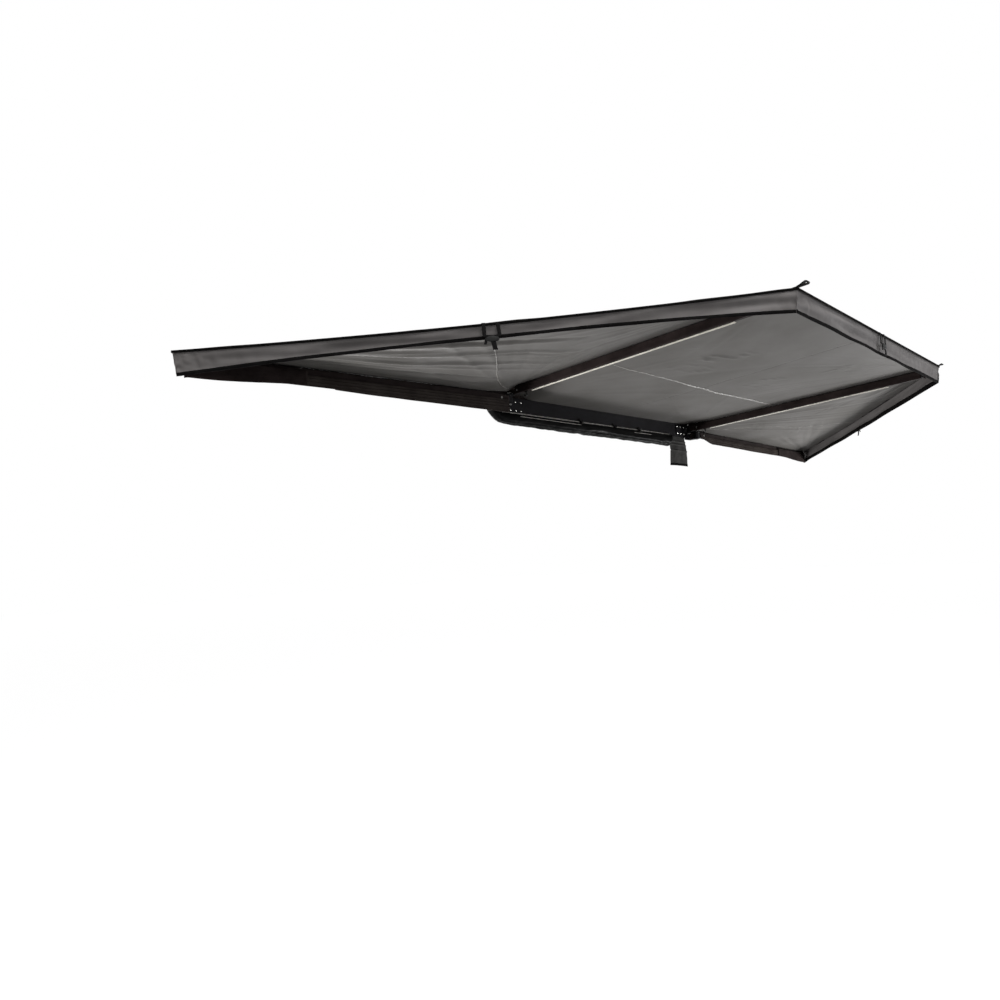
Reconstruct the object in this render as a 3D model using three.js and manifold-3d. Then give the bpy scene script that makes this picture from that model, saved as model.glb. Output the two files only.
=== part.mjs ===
// A four-arm vehicle awning that opens through 180 degrees, in millimetres, +Z up.
// The origin is the middle of the back face of the backboard. The roof rack is on the +Y side,
// the awning opens towards -Y, -X is the front of the vehicle and +X its rear.
import * as THREE from "three";
import { mergeVertices } from "three/addons/utils/BufferGeometryUtils.js";
import Module from "manifold-3d";

// Backboard: a hollow aluminium extrusion with two bolt channels in its back.
const boardLength = 1810;
const boardDepth = 22;
const boardHeight = 88;
const boardWall = 2.5;
const channelPitch = 48;
const channelMouth = 9;
const channelWidth = 17;
const channelDepth = 8.5;
const channelLip = 2.5;
const kederRadius = 3.2;
const kederMouth = 2.4;
const kederInset = 7;
const capThickness = 3;
const plugLength = 14;

// Hinge brackets: folded steel plate with two ears round the pins.
const plateThickness = 4;
const plateLength = 172;
const plateMargin = 10;
const plateCorner = 8;
const earRadius = 18;
const rivetRadius = 4;
const rivetTopRadius = 2.2;
const rivetHeight = 2.2;
const rivetEdge = 11;
const pinRadius = 6;
const pinHeadRadius = 10;
const pinHeadHeight = 4;
const pinStep = 35;
const bushRadius = 8.5;
const bushFlangeRadius = 10.5;
const bushFlange = 1.3;
const bushGap = 0.5;

// Arms: rectangular aluminium tube in a cloth sleeve.
const sideArmReach = 1662;
const outerArmReach = 1520;
const tubeWidth = 25;
const tubeHeight = 38;
const tubeWall = 1.5;
const tubeCorner = 3;
const knuckleRadius = 12.5;
const knuckleNeck = 24;
const insertLength = 66;
const boltAt = 72;
const boltRadius = 3;
const boltHeadRadius = 6;
const boltHeadHeight = 2.5;
const sleeveWall = 1.5;
const sleeveStart = 92;
const skirtDrop = 33;
const skirtThickness = 2;
const skirtHem = 8;
const skirtHemDrop = 7;
const beadRadius = 2.2;
const tipPlugLength = 24;
const pocketLength = 70;
const pocketWall = 2;
const laneGap = 13;
const laneClearance = 5.7;
const levelGap = 9;
const armDrop = 36;
const sideArmStep = 42;
const sideArmDroop = THREE.MathUtils.degToRad(1.39);
const outerArmRise = THREE.MathUtils.degToRad(2.6);

// Light strips and hooks under the outer arms.
const stripWidth = 10;
const stripHeight = 5;
const stripStart = 160;
const stripTipShort = 230;
const hookAt = 128;
const hookHeight = 26;
const hookGap = 10;
const hookThickness = 4;
const hookDepth = 8;
const hookTip = 3;
const hookFoot = 22;
const hookFootThickness = 2.5;

// Canopy cloth and its edges.
const sideCornerOver = 42;
const outerCornerOver = 34;
const clothThickness = 1.5;
const clothGap = 2.2;
const rimGap = 0.7;
const panelSeam = 0.5;
const panelStartShare = 0.03;
const hingeLift = 14;
const hingeLiftReach = 230;
const panelSag = 14;
const edgeSag = 17;
const valanceDrop = 91;
const valanceMidDrop = 53;
const valanceLean = 10;
const valanceFold = 3;
const valanceFoldWaves = 9;
const valanceFlatness = 2.5;
const rimInset = 3;
const cornerTrim = 9;
const yokeSpan = 76;
const yokeHeight = 52;
const webbingWidth = 12;
const webbingThickness = 2;
const buckleWidth = 30;
const buckleHeight = 18;
const buckleThickness = 8;
const yokeTail = 44;
const loopWidth = 22;
const loopReach = 46;
const loopRadius = 9;

// Storage bag, rolled up under the board.
const bagFrontOver = 95;
const bagRearShort = 240;
const bagDepth = 56;
const bagFrontHeight = 50;
const bagRearHeight = 62;
const bagBowLength = 130;
const bagSternLength = 30;
const bagSideCount = 14;
const bagStations = 20;
const bagTipShare = 0.12;
const bagSideRound = 0.7;
const bagTopRound = 0.8;
const bagTipWidthShare = 0.6;
const zipWidth = 8;
const zipThickness = 3;
const zipRearShort = 262;
const sliderLength = 16;
const toggleRadius = 4;
const toggleLength = 17;
const flapWidth = 190;
const flapHeight = 185;
const flapThickness = 3;
const flapWave = 7;
const flapFlare = 0.06;
const flapCurl = 1.5;
const flapGap = 10;

// Clearances: between fixed pieces, and between a turning piece and its pin or ear.
const seat = 0.3;
const pinClearance = 0.35;
const earClearance = 2.5;
const cutOverrun = 2;

// Places that follow from those sizes.
const boardHalf = boardLength / 2;
const boardTop = boardHeight / 2;
const sleeveWidth = tubeWidth + 2 * sleeveWall;
const sleeveHeight = tubeHeight + 2 * sleeveWall;
const plateBack = -boardDepth - seat;
const plateFront = plateBack - plateThickness;
const innerLane = plateFront - laneClearance - sleeveWidth / 2;
const outerLane = innerLane - sleeveWidth - laneGap;
const lowerLevel = boardTop - armDrop;
const upperLevel = lowerLevel + sleeveHeight + levelGap;
const sidePinX = boardHalf;
const outerPinX = sidePinX - pinStep;
const earGapHalf = sleeveHeight / 2 + earClearance;
const X = new THREE.Vector3(1, 0, 0);
const Y = new THREE.Vector3(0, 1, 0);
const Z = new THREE.Vector3(0, 0, 1);

const wasm = await Module();
wasm.setup();

// A closed geometry as a solid that can be joined and cut.
function solid(geometry) {
  const bare = geometry.index ? geometry.toNonIndexed() : geometry.clone();
  bare.deleteAttribute("normal");
  bare.deleteAttribute("uv");
  const merged = mergeVertices(bare, 1e-4);
  return new wasm.Manifold(
    new wasm.Mesh({
      numProp: 3,
      vertProperties: merged.attributes.position.array,
      triVerts: new Uint32Array(merged.index.array),
    }),
  );
}

// The geometry of such a solid.
function geometryOf(body) {
  const mesh = body.getMesh();
  const geometry = new THREE.BufferGeometry();
  geometry.setAttribute("position", new THREE.BufferAttribute(mesh.vertProperties, 3));
  geometry.setIndex(new THREE.BufferAttribute(mesh.triVerts, 1));
  const flat = geometry.toNonIndexed();
  flat.computeVertexNormals();
  return flat;
}

function joined(...geometries) {
  return geometryOf(geometries.map(solid).reduce((a, b) => a.add(b)));
}

function cut(geometry, ...tools) {
  return geometryOf(tools.map(solid).reduce((a, b) => a.subtract(b), solid(geometry)));
}

// A block between two corners.
function block(x0, x1, y0, y1, z0, z1) {
  const box = new THREE.BoxGeometry(x1 - x0, y1 - y0, z1 - z0);
  return box.translate((x0 + x1) / 2, (y0 + y1) / 2, (z0 + z1) / 2);
}

// An outline drawn in Y and Z, carried along X from x0 to x1.
function alongX(shape, x0, x1, arcSteps = 2) {
  const geometry = extruded(shape, x1 - x0, arcSteps);
  return geometry.applyMatrix4(new THREE.Matrix4().makeBasis(Y, Z, X)).translate(x0, 0, 0);
}

// An outline drawn in X and Z, carried along Y from y0 to y1.
function alongY(shape, y0, y1, arcSteps = 4) {
  const geometry = extruded(shape, y1 - y0, arcSteps);
  return geometry.rotateX(Math.PI / 2).translate(0, y1, 0);
}

// An outline drawn in X and Y, carried along Z from z0 to z1.
function alongZ(shape, z0, z1, arcSteps = 4) {
  return extruded(shape, z1 - z0, arcSteps).translate(0, 0, z0);
}

function extruded(shape, depth, arcSteps) {
  return new THREE.ExtrudeGeometry(shape, { depth, bevelEnabled: false, curveSegments: arcSteps });
}

// A rectangle with round corners about (cx, cy).
function roundedRectangle(width, height, radius, cx = 0, cy = 0, Kind = THREE.Shape) {
  const r = Math.min(radius, width / 2, height / 2);
  const [left, right] = [cx - width / 2, cx + width / 2];
  const [low, high] = [cy - height / 2, cy + height / 2];
  const shape = new Kind();
  shape.moveTo(left + r, low);
  shape.lineTo(right - r, low).absarc(right - r, low + r, r, -Math.PI / 2, 0, false);
  shape.lineTo(right, high - r).absarc(right - r, high - r, r, 0, Math.PI / 2, false);
  shape.lineTo(left + r, high).absarc(left + r, high - r, r, Math.PI / 2, Math.PI, false);
  shape.lineTo(left, low + r).absarc(left + r, low + r, r, Math.PI, Math.PI * 1.5, false);
  return shape;
}

// An upright round bar on the Z axis.
function upright(radius, z0, z1, sides = 24) {
  const bar = new THREE.CylinderGeometry(radius, radius, z1 - z0, sides);
  return bar.rotateX(Math.PI / 2).translate(0, 0, (z0 + z1) / 2);
}

// A closed body from a grid of points on its front and a matching grid on its back.
function slab(front, back, across, along) {
  const points = [];
  for (const face of [front, back])
    for (let j = 0; j <= along; j++)
      for (let i = 0; i <= across; i++) points.push(face(i / across, j / along));
  const row = across + 1;
  const layer = row * (along + 1);
  const triangles = [];
  const quad = (a, b, c, d) => triangles.push(a, b, c, a, c, d);
  for (let j = 0; j < along; j++)
    for (let i = 0; i < across; i++) {
      const a = j * row + i;
      quad(a, a + 1, a + row + 1, a + row);
      quad(layer + a, layer + a + row, layer + a + row + 1, layer + a + 1);
    }
  for (let i = 0; i < across; i++) {
    const far = along * row + i;
    quad(i, layer + i, layer + i + 1, i + 1);
    quad(far, far + 1, layer + far + 1, layer + far);
  }
  for (let j = 0; j < along; j++) {
    const [near, far] = [j * row, j * row + across];
    quad(near, near + row, layer + near + row, layer + near);
    quad(far, layer + far, layer + far + row, far + row);
  }
  return outward(points, triangles);
}

// A closed body through rings of points, with a fan at each end.
function loft(rings) {
  const count = rings[0].length;
  const points = rings.flat();
  const triangles = [];
  for (let k = 0; k + 1 < rings.length; k++)
    for (let i = 0; i < count; i++) {
      const [a, b] = [k * count + i, k * count + ((i + 1) % count)];
      triangles.push(a, b, b + count, a, b + count, a + count);
    }
  for (const [ring, first, turn] of [
    [rings[0], 0, 1],
    [rings.at(-1), (rings.length - 1) * count, -1],
  ]) {
    const middle = points.push(ring.reduce((s, p) => s.add(p), new THREE.Vector3())
      .divideScalar(count)) - 1;
    for (let i = 0; i < count; i++) {
      const [a, b] = [first + i, first + ((i + 1) % count)];
      if (turn > 0) triangles.push(middle, b, a);
      else triangles.push(middle, a, b);
    }
  }
  return outward(points, triangles);
}

// Points and triangles as a geometry whose faces point out.
function outward(points, triangles) {
  let volume = 0;
  for (let i = 0; i < triangles.length; i += 3) {
    const [a, b, c] = triangles.slice(i, i + 3).map((k) => points[k]);
    volume += a.dot(new THREE.Vector3().crossVectors(b, c));
  }
  if (volume < 0)
    for (let i = 0; i < triangles.length; i += 3)
      [triangles[i + 1], triangles[i + 2]] = [triangles[i + 2], triangles[i + 1]];
  const geometry = new THREE.BufferGeometry();
  geometry.setAttribute(
    "position",
    new THREE.Float32BufferAttribute(points.flatMap((p) => [p.x, p.y, p.z]), 3),
  );
  geometry.setIndex(triangles);
  const flat = geometry.toNonIndexed();
  flat.computeVertexNormals();
  return flat;
}

function finish(color, roughness, metalness = 0) {
  return () => new THREE.MeshStandardMaterial({ color, roughness, metalness });
}

const powderCoat = finish(0x2b2a2c, 0.55, 0.4);
const zincSteel = finish(0x9a9a98, 0.35, 1);
const anodised = finish(0x232224, 0.4, 0.8);
const blackNylon = finish(0x141414, 0.5);
const ripstop = finish(0x63625f, 0.75);
const sleeveCloth = finish(0x1b1918, 0.85);
const bagVinyl = finish(0x1a191a, 0.4);
const webbing = finish(0x121212, 0.9);
const diffuser = finish(0xe4e0d4, 0.4);
const zipTeeth = finish(0x8c8a86, 0.4);

const awning = new THREE.Group();

function add(parent, name, geometry, material) {
  const mesh = new THREE.Mesh(geometry, material());
  mesh.name = name;
  parent.add(mesh);
  return mesh;
}

// Backboard. The bolt channels open to the back, a bead groove opens to the top for the canopy
// and one to the bottom for the bag, and two chambers run through behind the front wall.
function boardOutline() {
  const shape = new THREE.Shape();
  const groove = (z, turn) => {
    const centre = z - turn * (kederRadius + kederMouth / 2);
    const opening = Math.asin(kederMouth / 2 / kederRadius);
    const from = (turn * Math.PI) / 2 + turn * opening;
    const to = (turn * Math.PI) / 2 - turn * opening + turn * 2 * Math.PI;
    const y = -boardDepth + kederInset;
    shape.lineTo(y - kederMouth / 2, z);
    shape.absarc(y, centre, kederRadius, from, to, turn < 0);
    shape.lineTo(y + kederMouth / 2, z);
  };
  const channel = (z) => {
    shape.lineTo(0, z + channelMouth / 2);
    shape.lineTo(-channelLip, z + channelMouth / 2);
    shape.lineTo(-channelLip, z + channelWidth / 2);
    shape.lineTo(-channelDepth, z + channelWidth / 2);
    shape.lineTo(-channelDepth, z - channelWidth / 2);
    shape.lineTo(-channelLip, z - channelWidth / 2);
    shape.lineTo(-channelLip, z - channelMouth / 2);
    shape.lineTo(0, z - channelMouth / 2);
  };
  shape.moveTo(-boardDepth, -boardTop);
  shape.lineTo(-boardDepth, boardTop);
  groove(boardTop, 1);
  shape.lineTo(0, boardTop);
  channel(channelPitch / 2);
  channel(-channelPitch / 2);
  shape.lineTo(0, -boardTop);
  bottomGroove(shape);
  shape.lineTo(-boardDepth, -boardTop);
  for (const side of [-1, 1]) shape.holes.push(chamber(side, 0));
  return shape;
}

// The lower bead groove, walked from the back of the board to its front.
function bottomGroove(shape) {
  const y = -boardDepth + kederInset;
  const opening = Math.asin(kederMouth / 2 / kederRadius);
  const centre = -boardTop + kederRadius + kederMouth / 2;
  shape.lineTo(y + kederMouth / 2, -boardTop);
  shape.absarc(y, centre, kederRadius, -Math.PI / 2 + opening, Math.PI * 1.5 - opening, false);
  shape.lineTo(y - kederMouth / 2, -boardTop);
}

// One of the two chambers behind the front wall, drawn smaller by a clearance for its plug.
const grooveDepth = 2 * kederRadius + kederMouth;
function chamber(side, clearance) {
  const front = -boardDepth + boardWall;
  const back = -channelDepth - boardWall;
  const low = boardWall / 2;
  const high = boardTop - grooveDepth - boardWall;
  return roundedRectangle(
    back - front - 2 * clearance,
    high - low - 2 * clearance,
    boardWall / 2,
    (front + back) / 2,
    (side * (low + high)) / 2,
    THREE.Path,
  );
}

add(awning, "backboard", alongX(boardOutline(), -boardHalf, boardHalf, 6), powderCoat);

// Plastic caps close the ends of the board, each with two plugs in the chambers.
for (const [name, side] of [["front_board_cap", -1], ["rear_board_cap", 1]]) {
  const outline = roundedRectangle(boardDepth, boardHeight, boardWall, -boardDepth / 2, 0);
  const near = side * (boardHalf + seat);
  const far = near + side * capThickness;
  const plate = alongX(outline, Math.min(near, far), Math.max(near, far));
  const inner = near - side * plugLength;
  const plugs = [-1, 1].map((half) => {
    const plug = new THREE.Shape(chamber(half, seat).getPoints(3));
    return alongX(plug, Math.min(near, inner), Math.max(near, inner) + seat, 3);
  });
  const shifted = side > 0 ? plugs : plugs.map((p) => p.translate(-seat, 0, 0));
  add(awning, name, joined(plate, ...shifted), blackNylon);
}

// The direction, the upward side, the pin and the pin's axis of each arm.
// A side arm hangs a step below the outer arm. It droops a little when open and lies level when
// folded, so its pin leans by half of that. An outer arm rises a little when open and stays
// square to its pin.
function armPlace(end, kind) {
  const level = end < 0 ? upperLevel : lowerLevel;
  if (kind === "side") {
    const [s, c] = [Math.sin(sideArmDroop), Math.cos(sideArmDroop)];
    return {
      pin: new THREE.Vector3(end * sidePinX, outerLane, level - sideArmStep),
      direction: new THREE.Vector3(end * c, 0, -s),
      up: new THREE.Vector3(end * s, 0, c),
      axis: new THREE.Vector3(end * Math.sin(sideArmDroop / 2), 0, Math.cos(sideArmDroop / 2)),
      lean: sideArmDroop / 2,
      reach: sideArmReach,
      corner: sideArmReach + sideCornerOver,
    };
  }
  const [s, c] = [Math.sin(outerArmRise), Math.cos(outerArmRise)];
  return {
    pin: new THREE.Vector3(end * outerPinX, innerLane, level),
    direction: new THREE.Vector3(0, -c, s),
    up: new THREE.Vector3(0, s, c),
    axis: new THREE.Vector3(0, s, c),
    lean: 0,
    reach: outerArmReach,
    corner: outerArmReach + outerCornerOver,
  };
}

const arms = {
  front_side: armPlace(-1, "side"),
  front_outer: armPlace(-1, "outer"),
  rear_outer: armPlace(1, "outer"),
  rear_side: armPlace(1, "side"),
};

// A group at an arm's pin, with +X along the arm and +Z on its upward side.
function armGroup(arm) {
  const group = new THREE.Group();
  const side = new THREE.Vector3().crossVectors(arm.up, arm.direction);
  group.matrix.makeBasis(arm.direction, side, arm.up).setPosition(arm.pin);
  group.matrix.decompose(group.position, group.quaternion, group.scale);
  awning.add(group);
  return group;
}

// A geometry made upright on the Z axis, moved onto an arm's pin.
function ontoPin(geometry, arm) {
  const turn = new THREE.Quaternion().setFromUnitVectors(Z, arm.axis);
  return geometry.applyQuaternion(turn).translate(arm.pin.x, arm.pin.y, arm.pin.z);
}

// Hinge bracket: a riveted base plate, a post behind the arms, and an ear above and below each
// arm. The two arms are a step apart in height, so each has its own pair of ears.
function earOutline(pin) {
  const root = plateFront + plateThickness / 2;
  const shape = new THREE.Shape();
  shape.moveTo(pin.x - earRadius, root);
  shape.lineTo(pin.x + earRadius, root);
  shape.lineTo(pin.x + earRadius, pin.y);
  shape.absarc(pin.x, pin.y, earRadius, 0, -Math.PI, true);
  return shape;
}

function bracket(end) {
  const hinged = ["side", "outer"].map((kind) => arms[(end < 0 ? "front_" : "rear_") + kind]);
  const outerEdge = end * (sidePinX + earRadius);
  const innerEdge = end * (sidePinX - plateLength + earRadius);
  const [x0, x1] = [Math.min(outerEdge, innerEdge), Math.max(outerEdge, innerEdge)];
  const plateHeight = boardHeight - 2 * plateMargin;
  const plate = alongY(
    roundedRectangle(x1 - x0, plateHeight, plateCorner, (x0 + x1) / 2, 0),
    plateFront,
    plateBack,
  );
  const earLows = hinged.flatMap((arm) => [arm.pin.z - earGapHalf - plateThickness, arm.pin.z + earGapHalf]);
  const ears = hinged.flatMap((arm, k) =>
    earLows.slice(2 * k, 2 * k + 2).map((low) => alongZ(earOutline(arm.pin), low, low + plateThickness, 8)),
  );
  const postEdge = end * (outerPinX - earRadius);
  const post = block(
    Math.min(outerEdge, postEdge),
    Math.max(outerEdge, postEdge),
    plateFront,
    plateBack,
    Math.min(...earLows, -plateHeight / 4),
    Math.max(...earLows, plateHeight / 2 - plateThickness) + plateThickness,
  );
  const rivets = rivetPlaces(end, x0, x1, plateHeight).map(([x, z]) => {
    const head = new THREE.CylinderGeometry(rivetTopRadius, rivetRadius, rivetHeight, 10);
    return head.rotateX(Math.PI / 2).translate(x, plateFront - rivetHeight / 2 + seat / 2, z);
  });
  const half = earGapHalf + plateThickness + cutOverrun;
  const bores = hinged.map((arm) => ontoPin(upright(pinRadius + seat, -half, half), arm));
  return cut(joined(plate, post, ...ears, ...rivets), ...bores);
}

// Rivet places on the base plate: a lower row of three and an upper row of four.
const rivetShares = [0, 0.27, 0.54, 0.8];
function rivetPlaces(end, x0, x1, plateHeight) {
  const inner = end < 0 ? x1 - rivetEdge : x0 + rivetEdge;
  const run = x1 - x0 - 2 * rivetEdge;
  const row = plateHeight / 2 - rivetEdge;
  const place = (z) => (share) => [inner + end * run * share, z];
  return [...rivetShares.slice(0, -1).map(place(-row)), ...rivetShares.map(place(row))];
}

for (const [name, end] of [["front_hinge_bracket", -1], ["rear_hinge_bracket", 1]])
  add(awning, name, bracket(end), powderCoat);

// Hinge pins: a round shank through both ears, with a head above and a nut below.
for (const [name, arm] of Object.entries(arms)) {
  const reach = earGapHalf + plateThickness + 1.5 * seat + pinHeadRadius * Math.sin(outerArmRise);
  const shank = upright(pinRadius, -reach - pinHeadHeight / 2, reach + pinHeadHeight / 2);
  const head = upright(pinHeadRadius, reach, reach + pinHeadHeight, 16);
  const nut = upright(pinHeadRadius, -reach - pinHeadHeight, -reach, 6);
  add(awning, name + "_hinge_pin", ontoPin(joined(shank, head, nut), arm), zincSteel);
}

// One arm, root to tip: knuckle, bush, tube, cross bolt, tip plug, cloth sleeve and corner pocket.
function tubeOutline(clearance) {
  return roundedRectangle(
    tubeWidth - 2 * tubeWall - 2 * clearance,
    tubeHeight - 2 * tubeWall - 2 * clearance,
    tubeCorner - tubeWall,
  );
}

function hollow(width, height, wall, corner) {
  const shape = roundedRectangle(width, height, corner);
  const bore = roundedRectangle(width - 2 * wall, height - 2 * wall, corner - wall, 0, 0, THREE.Path);
  shape.holes.push(bore);
  return shape;
}

function crossBar(radius, x, half, sides = 12) {
  return new THREE.CylinderGeometry(radius, radius, 2 * half, sides).translate(x, 0, 0);
}

function knuckle(arm) {
  const tongueShape = new THREE.Shape();
  tongueShape.moveTo(knuckleNeck, -knuckleRadius);
  tongueShape.lineTo(knuckleNeck, knuckleRadius);
  tongueShape.lineTo(0, knuckleRadius);
  tongueShape.absarc(0, 0, knuckleRadius, Math.PI / 2, Math.PI * 1.5, false);
  const half = sleeveHeight / 2;
  const tongue = alongZ(tongueShape, -half, half, 10);
  const insert = alongX(tubeOutline(seat), knuckleNeck - cutOverrun, knuckleNeck + insertLength);
  const bore = upright(bushRadius + seat, -half - cutOverrun, half + cutOverrun);
  bore.rotateY(-arm.lean);
  return cut(joined(tongue, insert), bore, crossBar(boltRadius + seat, boltAt, tubeWidth));
}

// Nylon bush in the knuckle, with a flange that runs on the lower ear.
function bush(arm) {
  const flangeTop = -sleeveHeight / 2 - bushGap;
  const flangeLow = flangeTop - bushFlange;
  const barrel = upright(bushRadius, flangeLow, sleeveHeight / 2);
  const flange = upright(bushFlangeRadius, flangeLow, flangeTop);
  const half = sleeveHeight / 2 + earClearance;
  const bore = upright(pinRadius + pinClearance, -half, half);
  return cut(joined(barrel, flange), bore).rotateY(-arm.lean);
}

function crossBolt() {
  const out = tubeWidth / 2 + seat;
  const shank = crossBar(boltRadius, boltAt, out + boltHeadHeight / 2);
  const heads = [-1, 1].map((side) =>
    new THREE.CylinderGeometry(boltHeadRadius, boltHeadRadius, boltHeadHeight, 12).translate(
      boltAt,
      side * (out + boltHeadHeight / 2),
      0,
    ),
  );
  return joined(shank, ...heads);
}

function tipPlug(reach) {
  const face = alongX(
    roundedRectangle(tubeWidth, tubeHeight, tubeCorner),
    reach + seat,
    reach + seat + capThickness,
  );
  return joined(face, alongX(tubeOutline(seat), reach - tipPlugLength, reach + 2 * seat));
}

// The sleeve of a side arm carries a hanging skirt on its outboard side, with three sewn-in beads.
// The skirt stands out as far as a corner pocket, so that it passes beside the arm below.
const skirtInner = sleeveWidth / 2 + pocketWall + 2 * seat;
const skirtBeadShares = [0.45, 0.72, 0.98];
function sleeve(arm, outboard) {
  const end = arm.reach - pocketLength + tipPlugLength / 2;
  const tunnel = hollow(sleeveWidth, sleeveHeight, sleeveWall - seat, tubeCorner + sleeveWall);
  const body = alongX(tunnel, sleeveStart, end);
  if (!outboard) return body;
  const low = -sleeveHeight / 2 - skirtDrop;
  const bar = (near, far, z0, z1) => {
    const sides = [outboard * near, outboard * far].sort((a, b) => a - b);
    return block(sleeveStart, end, ...sides, z0, z1);
  };
  const skirt = bar(skirtInner, skirtInner + skirtThickness, low, -skirtHemDrop);
  const hem = bar(
    sleeveWidth / 2 - seat, skirtInner + skirtThickness,
    -skirtHemDrop - skirtHem, -skirtHemDrop,
  );
  const beads = skirtBeadShares.map((share) => {
    const bead = new THREE.CylinderGeometry(beadRadius, beadRadius, end - sleeveStart, 8);
    bead.rotateZ(Math.PI / 2);
    const y = outboard * (skirtInner + beadRadius);
    return bead.translate((sleeveStart + end) / 2, y, low * share + beadRadius);
  });
  return joined(body, hem, skirt, ...beads);
}

function pocket(arm) {
  const inner = [sleeveWidth + 2 * seat, sleeveHeight + 2 * seat];
  const outer = inner.map((size) => size + 2 * pocketWall);
  const end = arm.reach + 2 * seat + capThickness;
  const shell = alongX(
    roundedRectangle(...outer, tubeCorner + pocketWall),
    arm.reach - pocketLength + tipPlugLength,
    end + pocketWall,
  );
  return cut(shell, alongX(roundedRectangle(...inner, tubeCorner), arm.reach - pocketLength, end));
}

const groups = {};
for (const [name, arm] of Object.entries(arms)) {
  const group = armGroup(arm);
  groups[name] = group;
  const tubeSection = hollow(tubeWidth, tubeHeight, tubeWall, tubeCorner);
  const tube = alongX(tubeSection, knuckleNeck + seat, arm.reach);
  add(group, name + "_arm_knuckle", knuckle(arm), anodised);
  add(group, name + "_hinge_bush", bush(arm), blackNylon);
  add(group, name + "_arm_tube", cut(tube, crossBar(boltRadius + seat, boltAt, tubeWidth)), anodised);
  add(group, name + "_arm_bolt", crossBolt(), zincSteel);
  add(group, name + "_arm_tip_plug", tipPlug(arm.reach), blackNylon);
  const outboard = name === "front_side" ? 1 : name === "rear_side" ? -1 : 0;
  add(group, name + "_arm_sleeve", sleeve(arm, outboard), sleeveCloth);
  add(group, name + "_corner_pocket", pocket(arm), sleeveCloth);
}

// Light strip: a shallow channel with a domed diffuser, clipped under the arm on its rear edge.
function lightStrip() {
  const top = -sleeveHeight / 2 - seat;
  const shape = new THREE.Shape();
  const y1 = sleeveWidth / 2 - seat;
  const y0 = y1 - stripWidth;
  shape.moveTo(y0, top);
  shape.lineTo(y0, top - stripHeight / 2);
  shape.quadraticCurveTo(y0, top - stripHeight, (y0 + y1) / 2, top - stripHeight);
  shape.quadraticCurveTo(y1, top - stripHeight, y1, top - stripHeight / 2);
  shape.lineTo(y1, top);
  return alongX(shape, stripStart, outerArmReach - stripTipShort, 4);
}

// Hook: a flat foot under the sleeve, and a J whose mouth takes a lamp's ring or a rope.
function hook() {
  const top = -sleeveHeight / 2 - seat;
  const inside = hookGap / 2;
  const outside = inside + hookThickness;
  const stem = hookAt + hookThickness / 2;
  const x = stem - outside;
  const z = top - hookHeight + outside;
  const shape = new THREE.Shape();
  shape.moveTo(hookAt - hookFoot / 2, top);
  shape.lineTo(hookAt + hookFoot / 2, top);
  shape.lineTo(hookAt + hookFoot / 2, top - hookFootThickness);
  shape.lineTo(stem, top - hookFootThickness);
  shape.lineTo(stem, z);
  shape.absarc(x, z, outside, 0, -Math.PI, true);
  shape.lineTo(x - outside, z + hookTip);
  shape.lineTo(x - inside, z + hookTip);
  shape.lineTo(x - inside, z);
  shape.absarc(x, z, inside, -Math.PI, 0, false);
  shape.lineTo(x + inside, top - hookFootThickness);
  shape.lineTo(hookAt - hookFoot / 2, top - hookFootThickness);
  return alongY(shape, -hookDepth / 2, hookDepth / 2, 8);
}

for (const end of ["front", "rear"]) {
  const group = groups[end + "_outer"];
  add(group, end + "_light_strip", lightStrip(), diffuser);
  add(group, end + "_arm_hook", hook(), blackNylon);
}

// Canopy. Points over an arm's centre line, on top of the cloth.
const clothOver = sleeveHeight / 2 + pocketWall + clothGap + clothThickness;
function overArm(arm, s) {
  const fade = Math.max(0, 1 - s / hingeLiftReach);
  const lift = clothOver + (hingeLift - pocketWall) * fade * fade * (3 - 2 * fade);
  return arm.pin.clone().addScaledVector(arm.direction, s).addScaledVector(arm.up, lift);
}

const lerp = THREE.MathUtils.lerp;

// A side panel fans out from its hinge. t runs from the side arm to the outer arm, w from the
// hinge to the outer edge.
function sidePanelPoint(end, t, w) {
  const side = arms[end < 0 ? "front_side" : "rear_side"];
  const outer = arms[end < 0 ? "front_outer" : "rear_outer"];
  const s = lerp(panelStartShare, 1, w);
  const sideStart = -pinStep;
  const outerStart = laneGap + sleeveWidth;
  const a = overArm(side, lerp(sideStart, side.corner, s));
  const b = overArm(outer, lerp(outerStart, outer.corner, s));
  b.x += end * panelSeam;
  const p = a.clone().lerp(b, t);
  const between = 4 * t * (1 - t);
  p.z -= between * (w * w * edgeSag + Math.sin(Math.PI * w) * panelSag * 0.5);
  return p;
}

// The middle panel. s runs from the front arm to the rear arm, t from the board outwards.
function middlePanelPoint(s, t) {
  const [front, rear] = [arms.front_outer, arms.rear_outer];
  const startAt = innerLane + boardDepth / 2;
  const left = overArm(front, lerp(startAt, front.corner, t));
  const right = overArm(rear, lerp(startAt, rear.corner, t));
  left.x += panelSeam;
  right.x -= panelSeam;
  const p = left.clone().lerp(right, s);
  const board = boardTop + seat + clothThickness;
  const [z0, z1] = [overArm(front, startAt).z, overArm(rear, startAt).z];
  const width = right.x - left.x;
  const nearFront = Math.max(0, 1 - (s * width) / hingeLiftReach);
  const nearRear = Math.max(0, 1 - ((1 - s) * width) / hingeLiftReach);
  const edge = board + (z0 - board) * smooth(nearFront) + Math.max(0, z1 - board) * smooth(nearRear);
  p.z += (edge - lerp(z0, z1, s)) * (1 - t) * (1 - t);
  p.z -= Math.sin(Math.PI * s) * Math.sin(Math.PI * t) * panelSag;
  return p;
}

function smooth(share) {
  return share * share * (3 - 2 * share);
}

function lowered(point, depth) {
  return (...at) => point(...at).sub(new THREE.Vector3(0, 0, depth));
}

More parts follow.
